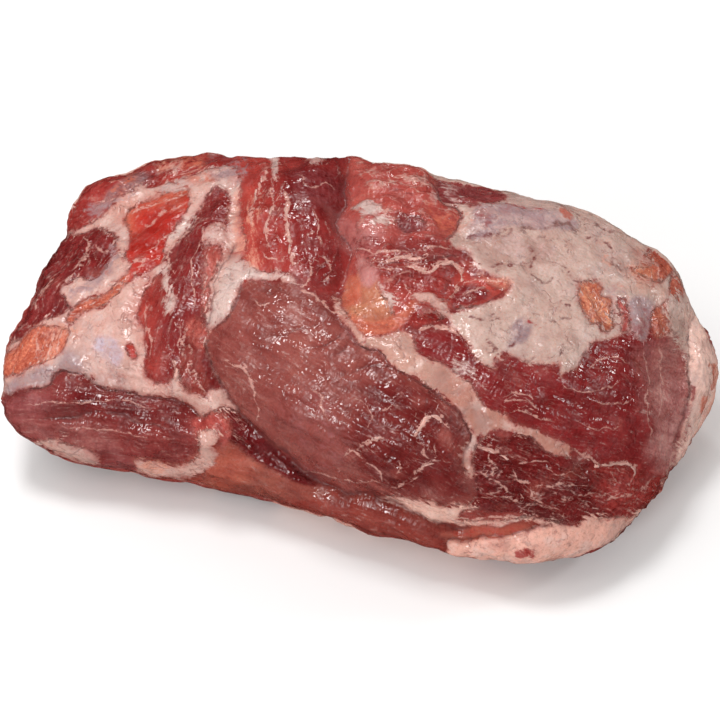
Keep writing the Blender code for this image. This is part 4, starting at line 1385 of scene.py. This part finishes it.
class Finish(Nodes):
    """A material round one Principled shader, whose unchanging values are given by name."""

    def __init__(self, name, **constants):
        self.material = bpy.data.materials.new(name)
        self.material.use_nodes = True
        super().__init__(self.material.node_tree)
        self.shader = self.tree.nodes["Principled BSDF"]
        for label, value in constants.items():
            self.shader.inputs[label.replace("_", " ")].default_value = value

    def attribute(self, name, output="Fac"):
        """What the piece's points store under this name, as a value, or as its Vector or Color."""
        return self.node("ShaderNodeAttribute", {"attribute_name": name}, output=output)

    def noise(self, vector, scale, detail=2.0, roughness=0.5, distortion=0.0):
        """Noise from 0 to 1, mostly near a half."""
        values = {"Vector": vector, "Scale": scale, "Detail": detail, "Roughness": roughness,
                  "Distortion": distortion}
        return self.node("ShaderNodeTexNoise", None, values)

    def vector(self, operation, first, second):
        """Adds a Vector Math node."""
        return self.node("ShaderNodeVectorMath", {"operation": operation}, {0: first, 1: second})

    def wander(self, vector, scale, reach):
        """A shift that wanders round zero from place to place."""
        wave = self.node("ShaderNodeTexNoise", None, {"Vector": vector, "Scale": scale, "Detail": 2.0}, 1)
        return self.vector("MULTIPLY", self.vector("SUBTRACT", wave, (0.5, 0.5, 0.5)), reach)

    def blend(self, share, first, second, how="MIX"):
        """A colour between two, or one laid over the other in the way that how names."""
        settings = {"data_type": "RGBA", "blend_type": how}
        return self.node("ShaderNodeMix", settings, {0: share, 6: first, 7: second}, 2)

    def tone(self, share, colour, factor):
        """A share of a colour multiplied by a darker or paler one."""
        return self.blend(share, colour, self.blend(1.0, colour, factor, "MULTIPLY"))

    def choose(self, share, first, second):
        """A vector between two."""
        return self.node("ShaderNodeMix", {"data_type": "VECTOR"}, {0: share, 4: first, 5: second}, 1)

    def lobes(self, vector, scale, warp):
        """How far each place is from the edge of its lobe, among uneven lobes."""
        bent = self.vector("ADD", vector, self.wander(vector, 2.5 * scale, (warp,) * 3))
        values = {"Vector": bent, "Scale": scale}
        return self.node("ShaderNodeTexVoronoi", {"feature": "DISTANCE_TO_EDGE"}, values)

    def feed(self, label, flow):
        """Links a value or colour to a socket of the shader."""
        self.tree.links.new(flow.socket, self.shader.inputs[label])

    def bump(self, height, distance, strength):
        """Feeds a height to the shader's Normal."""
        values = {"Height": height, "Distance": distance, "Strength": strength}
        self.feed("Normal", self.node("ShaderNodeBump", None, values))


def shade(name, factor=1.0):
    """A named colour for a colour socket, lighter or darker by a factor."""
    return (*(linear(name) * factor), 1.0)


def meat_patterns(f):
    """The places, noises and masks that the meat's colours and its relief share."""
    p = SimpleNamespace()
    p.place = f.node("ShaderNodeTexCoord", output="Object")
    p.marbling = f.attribute("marbling")

    # Places in millimetres along and across the fibres, which run as traced on the seen side.
    straight = f.vector("MULTIPLY", p.place, (1 / MM,) * 3)
    fibres = f.choose(f.attribute("seen").ease(0.49, 0.51), straight, f.attribute("fibre", "Vector"))
    p.fibres = f.vector("ADD", fibres, f.wander(p.place, 90.0, (9.0, 5.0, 5.0)))
    p.grain = f.vector("MULTIPLY", p.fibres, (FIBRE_STRETCH, 1.0, 1.0))

    p.fine = f.noise(p.grain, 1.1, 4.0, 0.65)
    p.broad = f.noise(p.grain, 0.3, 3.0, 0.55)
    p.patchy = f.noise(p.place, 75.0, 4.0, 0.62)
    p.grit = f.noise(p.place, 900.0, 4.0, 0.75)
    p.crumbs = f.noise(p.place, 420.0, 5.0, 0.68)
    p.scallops = f.noise(p.place, 150.0, 3.0, 0.5)
    p.fibrous = p.marbling * 0.75 + 0.25

    # Fat ends in a torn edge, and the more marbled the muscle is, the more it feathers.
    torn = (p.fine - 0.5) * (p.marbling.ease(0.2, 0.8) * 16.0 + 5.0) + (p.crumbs - 0.5) * 4.5
    p.fat_depth = f.attribute("fat_depth") + torn * (p.scallops.ease(0.38, 0.62) * 1.1 + 0.3)
    p.fat = p.fat_depth.ease(-0.4, 0.65)
    p.lobe_edge = f.lobes(p.place, 85.0, 0.012)
    p.cracks = p.lobe_edge.ease(0.06, 0.0) * p.crumbs.ease(0.45, 0.58) * p.patchy.ease(0.4, 0.55)

    # The torn layers' pale crests, and the gaps between them, which get painted shade.
    rank = f.attribute("layer_rank")
    p.crest = (rank + (p.crumbs - 0.5) * 1.3 + (p.fine - 0.5) * 0.6).ease(0.76, 1.04)
    p.gap = (rank + (p.crumbs - 0.5) * 0.6 + (p.fine - 0.5) * 0.4).ease(0.2, 0.0)

    # Sinews and the lines of painted shade in the creases waver, thin and break off.
    wobble = (p.crumbs - 0.5) * 2.0 + (p.scallops - 0.5) * 2.4
    half = f.attribute("sinew_half")
    width = half * (p.crumbs.ease(0.42, 0.58) * 1.4 + p.fine.ease(0.4, 0.6) * 0.4)
    sinew = (width - (f.attribute("sinew_side") + wobble).abs()).ease(-0.25, 0.35)
    p.sinew = sinew * half.ease(0.02, 0.15)
    half = f.attribute("cleft_half")
    width = half * (p.crumbs.ease(0.4, 0.6) + p.scallops.ease(0.35, 0.6) * 0.8)
    cleft = (width - (f.attribute("cleft_side") + wobble * 0.3).abs()).ease(-0.6, 0.4)
    cleft = cleft * half.ease(0.02, 0.15)
    # The painted shade in the creases and the seams between the unseen muscles, and along the creases' lines.
    p.dark = (f.attribute("darkness").ease(0.1, 1.0) * 0.5).math("MAXIMUM", cleft * 0.6)
    return p


def lean_colour(f, p, tint):
    """Muscle: darker and paler patches and fibres, a haze near the fat, and the finest threads in it."""
    gritty = p.marbling.ease(0.15, 0.85) * 0.5
    lean = f.blend(1.0, f.attribute("lean_tint", "Color"), tint, "MULTIPLY")
    lean = f.tone(p.broad.ease(0.58, 0.4) * p.fibrous * 0.7, lean, DARKER)
    lean = f.tone(p.patchy.ease(0.5, 0.64) * 0.4, lean, PALER)
    lean = f.tone(p.patchy.ease(0.5, 0.36) * 0.55, lean, DARKER)
    lean = f.tone(p.grit.ease(0.5, 0.64) * gritty, lean, PALEST)
    lean = f.tone(p.grit.ease(0.5, 0.38) * gritty, lean, DARKER)
    lean = f.blend(p.fine.ease(0.53, 0.72) * p.fibrous * 0.4, lean, shade("vein", 0.7))
    lean = f.blend(p.fine.ease(0.47, 0.3) * p.fibrous * 0.5, lean, shade("wine", 0.7))
    haze = p.fat_depth.ease(-2.0, 0.3) * p.crumbs.ease(0.45, 0.65)
    lean = f.blend(haze * 0.3, lean, shade("peach_fat", 0.75))
    bends = f.noise(p.grain, 0.22, 3.0, 0.6, 0.8)
    here = f.noise(p.place, 120.0, 2.0, 0.6).ease(0.46, 0.62)
    threads = (bends - 0.5).abs().ease(0.022, 0.004) * here * p.crumbs.ease(0.4, 0.55) * p.marbling
    return f.blend(threads * 0.6, lean, shade("vein", 0.85))


def fat_colour(f, p, tint):
    """Fat: mottled, gritty and glassy in places, cracked between its lobes, and pink where it is thin."""
    mottle = f.noise(p.place, 110.0, 5.0, 0.65)
    glassy = f.noise(p.place, 42.0, 4.0, 0.65, 0.6).ease(0.53, 0.62)
    thin = p.fat_depth.ease(1.8, 0.1) * (p.crumbs.ease(0.35, 0.6) * 0.6 + 0.4)
    fat = f.blend(1.0, f.attribute("fat_tint", "Color"), tint, "MULTIPLY")
    fat = f.blend(mottle.ease(0.5, 0.64) * 0.5, fat, shade("pink_fat", 0.68))
    fat = f.blend(mottle.ease(0.5, 0.36) * 0.5, fat, shade("white_fat", 1.12))
    fat = f.blend(p.grit.ease(0.48, 0.36) * 0.4, fat, shade("peach_fat", 0.62))
    fat = f.blend(glassy * 0.4, fat, shade("silver", 0.75))
    fat = f.blend(p.cracks * 0.4, fat, shade("corner_purple", 0.8))
    return f.blend(thin * 0.55, fat, shade("rose", 0.9))


def meat_material(colours):
    """Moist muscle, fat and films, told apart by what the neck's points store."""
    f = Finish("moist_meat", IOR=1.42, Specular_IOR_Level=0.6, Coat_Roughness=0.08, Coat_IOR=1.4,
               Subsurface_Weight=0.12, Subsurface_Radius=(1.0, 0.25, 0.18), Subsurface_Scale=1.6 * MM)
    p = meat_patterns(f)
    colour = f.blend(p.fat, lean_colour(f, p, (*colours.lean, 1.0)), fat_colour(f, p, (*colours.fat, 1.0)))

    # Over both: a painted shadow along the fat's edge, shreds of film, the torn layers with painted shade in
    # their gaps, sinews, and painted shade in the creases and seams.
    edge_shadow = (p.fat_depth + 0.3).abs().ease(0.5, 0.1) * p.patchy.ease(0.5, 0.6) * p.crumbs.ease(0.44, 0.56)
    colour = f.blend(edge_shadow * 0.17, colour, shade("shadow_red"))
    shreds = f.attribute("film") + (p.crumbs - 0.5) * 2.2 + (p.fine - 0.5) * 2.2 + (p.patchy - 0.5) * 1.2
    colour = f.blend(shreds.ease(0.25, 1.1) * 0.85, colour, f.attribute("film_tint", "Color"))
    colour = f.blend(p.crest * 0.34, colour, shade("vein", 0.92))
    colour = f.tone(p.gap * 0.55, colour, SHADOW)
    colour = f.blend(p.sinew * 0.65, colour, shade("vein", 0.98))
    f.feed("Base Color", f.blend(p.dark, colour, shade("shadow_red")))

    # Wet places shine, and fat and the creases and seams with painted shade are duller.
    wet = f.noise(p.place, 130.0, 4.0, 0.65).ease(0.42, 0.56)
    f.feed("Roughness", 0.36 - wet * 0.23 + p.dark * 0.3 + p.fat * 0.06)
    f.feed("Coat Weight", wet * (1.0 - p.dark) * 0.12)

    # Muscle has fibres, wrinkles and beads of moisture, less so where it is silky, and fat has soft pillows.
    ripples = f.noise(p.grain, 0.55, 0.0) - 0.5
    wrinkles = f.noise(f.vector("MULTIPLY", p.fibres, (0.72, 0.24, 0.24)), 1.0, 0.0) - 0.5
    beads = f.noise(p.place, 780.0, 0.0) - 0.5
    lumps = f.noise(p.place, 260.0, 1.0) - 0.5
    pillows = p.lobe_edge.ease(0.0, 0.22) - 0.5
    silky = p.marbling.ease(0.35, 0.0)
    grooves = ripples * p.fibrous * 0.8 + wrinkles * (0.53 - silky * 0.35)
    lean_height = grooves * f.attribute("calm") + beads * (0.35 - silky * 0.15) + lumps * 0.4
    fat_height = lumps * 0.7 + beads * 0.2 + pillows * 0.22 - p.cracks * 0.25
    height = lean_height * (1.0 - p.fat) + p.sinew * 0.15 + (fat_height * p.fat + p.crest * 0.25)
    f.bump(height, 0.8 * MM, 1.0)
    return f.material


def vein_material(colours):
    """Pale connective tissue, moist and a little see-through."""
    f = Finish("connective_tissue", IOR=1.42, Roughness=0.4, Coat_Roughness=0.15,
               Subsurface_Weight=0.3, Subsurface_Radius=(1.0, 0.45, 0.35), Subsurface_Scale=2.0 * MM)
    place = f.node("ShaderNodeTexCoord", output="Object")
    patches = f.noise(place, 350.0, 3.0, 0.6)
    pale = (*colours.strand, 1.0)
    dim = f.blend(1.0, pale, (0.75, 0.75, 0.75, 1), "MULTIPLY")
    f.feed("Base Color", f.blend(patches.ease(0.4, 0.62), dim, pale))
    f.feed("Coat Weight", patches.ease(0.3, 0.7) * 0.3)
    f.bump(f.noise(place, 1500.0, 2.0), 0.2 * MM, 0.5)
    return f.material


class NeckSizes(bpy.types.PropertyGroup):
    """Sizes of the fine surface, in millimetres."""

    quad: FloatProperty(name="Quad", description="Side of the surface's quads, in mm",
                        default=1.19, min=0.8)
    fat_rise: FloatProperty(name="Fat Rise", description="How far fat stands over the lean, in mm",
                            default=0.4)
    bundle_height: FloatProperty(name="Bundles", description="Relief of the fibre bundles, in mm",
                                 default=0.9)


class NeckColours(bpy.types.PropertyGroup):
    """Tints over the traced colours, which white leaves as they are, and the strands' own colour."""

    lean: FloatVectorProperty(name="Lean Tint", description="Colour that all muscle is multiplied by",
                              subtype="COLOR", min=0, max=1, default=(1, 1, 1))
    fat: FloatVectorProperty(name="Fat Tint", description="Colour that all fat is multiplied by",
                             subtype="COLOR", min=0, max=1, default=(1, 1, 1))
    strand: FloatVectorProperty(name="Strands", description="Colour of the veins and sinews",
                                subtype="COLOR", min=0, max=1, default=linear("vein"))


class StrandSizes(bpy.types.PropertyGroup):
    """How the veins and sinews are drawn out."""

    sides: IntProperty(name="Sides", description="Sides of a strand's round section",
                       default=8, min=5)
    taper: FloatProperty(name="Taper", description="How quickly a strand thins to its ends",
                         default=0.35)
    unevenness: FloatProperty(name="Unevenness", description="How much a strand's thickness swings",
                              default=0.9)


class StageLook(bpy.types.PropertyGroup):
    """The plain studio round the neck."""

    floor: FloatVectorProperty(name="Floor", description="Colour of the floor",
                               subtype="COLOR", default=(0.86, 0.86, 0.86))
    world: FloatProperty(name="Surroundings", description="Brightness all round",
                         default=0.55)
    key_power: FloatProperty(name="Key Light", description="Power of the large light",
                             subtype="POWER", default=2.0)
    fill_power: FloatProperty(name="Fill Light", description="Power of the low light in front",
                              subtype="POWER", default=7.2)
    glint_power: FloatProperty(name="Glint Lights", description="Power of the lights that gleam",
                               subtype="POWER", default=3.6)


def lay_floor(look):
    """A plain floor, which the moist surface doesn't mirror."""
    bm = bmesh.new()
    bmesh.ops.create_grid(bm, x_segments=1, y_segments=1, size=FLOOR_SIZE / 2)
    mesh = bpy.data.meshes.new("floor")
    bm.to_mesh(mesh)
    bm.free()
    floor = bpy.data.objects.new("floor", mesh)
    bpy.context.scene.collection.objects.link(floor)
    floor.visible_glossy = False
    finish = Finish("plain_floor", Roughness=0.7, Base_Color=(*look.floor, 1.0))
    mesh.materials.append(finish.material)
    floor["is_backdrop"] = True


def add_light(name, power, size, place, reflected=True):
    """A round light that faces the neck. The moist surface mirrors it only if it is to be reflected."""
    light = bpy.data.lights.new(name, "AREA")
    light.shape = "DISK"
    light.size = size
    light.energy = power
    lamp = bpy.data.objects.new(name, light)
    lamp.location = place
    lamp.rotation_euler = (Vector(LIGHT_TARGET) - Vector(place)).to_track_quat("-Z", "Y").to_euler()
    lamp.visible_glossy = reflected
    lamp.visible_camera = False
    bpy.context.scene.collection.objects.link(lamp)


def light_up(scene, look):
    """Even light from all round, a large soft key and fill, and small lights for the wet surface's glints."""
    world = bpy.data.worlds.new("surroundings")
    world.use_nodes = True
    background = world.node_tree.nodes["Background"]
    background.inputs["Color"].default_value = SURROUNDINGS
    background.inputs["Strength"].default_value = look.world
    world.cycles_visibility.glossy = False
    scene.world = world
    scene.view_settings.view_transform = "Standard"
    add_light("key", look.key_power, KEY_WIDTH, KEY_PLACE, reflected=False)
    add_light("fill", look.fill_power, FILL_WIDTH, FILL_PLACE, reflected=False)
    for number, (place, size, share) in enumerate(GLINTS):
        add_light(f"glint_{number}", look.glint_power * share, size, place)


def place_camera(scene):
    """A camera on the photograph's line of sight."""
    eye, right, up, back = sight()
    lens = bpy.data.cameras.new("photo_view")
    lens.sensor_width = SENSOR_WIDTH
    lens.lens = FOCAL_PIXELS / PHOTO_SIZE * SENSOR_WIDTH
    camera = bpy.data.objects.new("photo_view", lens)
    turn = Matrix((right, up, back)).transposed().to_4x4()
    camera.matrix_world = Matrix.Translation(Vector(eye)) @ turn
    scene.collection.objects.link(camera)
    scene.camera = camera


class PORKNECK_OT_body(bpy.types.Operator):
    """Make the neck's muscles and fat"""

    bl_idname = "porkneck.body"
    bl_label = "Muscles and Fat"

    def execute(self, context):
        sizes = context.scene.neck_sizes
        mesh = fine_form(sizes)
        dress_surface(Surface(mesh), sizes)
        body = add_piece("meat", mesh, meat_material(context.scene.neck_colours))
        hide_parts(NODE)
        return {"FINISHED"}


class PORKNECK_OT_strands(bpy.types.Operator):
    """Lay the veins and sinews on the muscles"""

    bl_idname = "porkneck.strands"
    bl_label = "Veins and Sinews"

    def execute(self, context):
        look = context.scene.strand_sizes
        material = vein_material(context.scene.neck_colours)
        values = {"Sides": look.sides, "Taper": look.taper, "Unevenness": look.unevenness}
        mesh = vein_growth(material).grow("veins", vein_lines(bpy.data.objects["meat"]), values)
        add_piece("veins", mesh, material)
        return {"FINISHED"}


class PORKNECK_OT_stage(bpy.types.Operator):
    """Set the floor, the lights and the camera"""

    bl_idname = "porkneck.stage"
    bl_label = "Stage"

    def execute(self, context):
        look = context.scene.stage_look
        lay_floor(look)
        light_up(context.scene, look)
        place_camera(context.scene)
        return {"FINISHED"}


class PORKNECK_PT_panel(bpy.types.Panel):
    """The neck's steps and sizes in the sidebar"""

    bl_idname = "PORKNECK_PT_panel"
    bl_label = "Pork Neck"
    bl_space_type = "VIEW_3D"
    bl_region_type = "UI"
    bl_category = "Pork Neck"

    def draw(self, context):
        for step in STEPS:
            self.layout.operator(step.bl_idname)
        for group in GROUPS:
            values = getattr(context.scene, group)
            for label in values.bl_rna.properties.keys():
                if label not in ("rna_type", "name"):
                    self.layout.prop(values, label)


STEPS = (PORKNECK_OT_body, PORKNECK_OT_strands, PORKNECK_OT_stage)
GROUPS = {
    "neck_sizes": NeckSizes,
    "neck_colours": NeckColours,
    "strand_sizes": StrandSizes,
    "stage_look": StageLook,
}


def register():
    """Makes the sizes, the steps and the panel known to Blender."""
    for kind in (*GROUPS.values(), *STEPS, PORKNECK_PT_panel):
        bpy.utils.register_class(kind)
    for name, kind in GROUPS.items():
        setattr(bpy.types.Scene, name, PointerProperty(type=kind))


def unregister():
    """Takes them away again."""
    for name in GROUPS:
        delattr(bpy.types.Scene, name)
    for kind in (PORKNECK_PT_panel, *reversed(STEPS), *reversed(GROUPS.values())):
        bpy.utils.unregister_class(kind)


def corners():
    """The whole object's lowest and highest corners, as plain lists."""
    return [list(corner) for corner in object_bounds()]


def main():
    """Makes the neck and its stage."""
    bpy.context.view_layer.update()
    register()
    bpy.ops.porkneck.body()
    bpy.ops.porkneck.strands()
    bpy.ops.porkneck.stage()


if __name__ == "__main__":
    main()
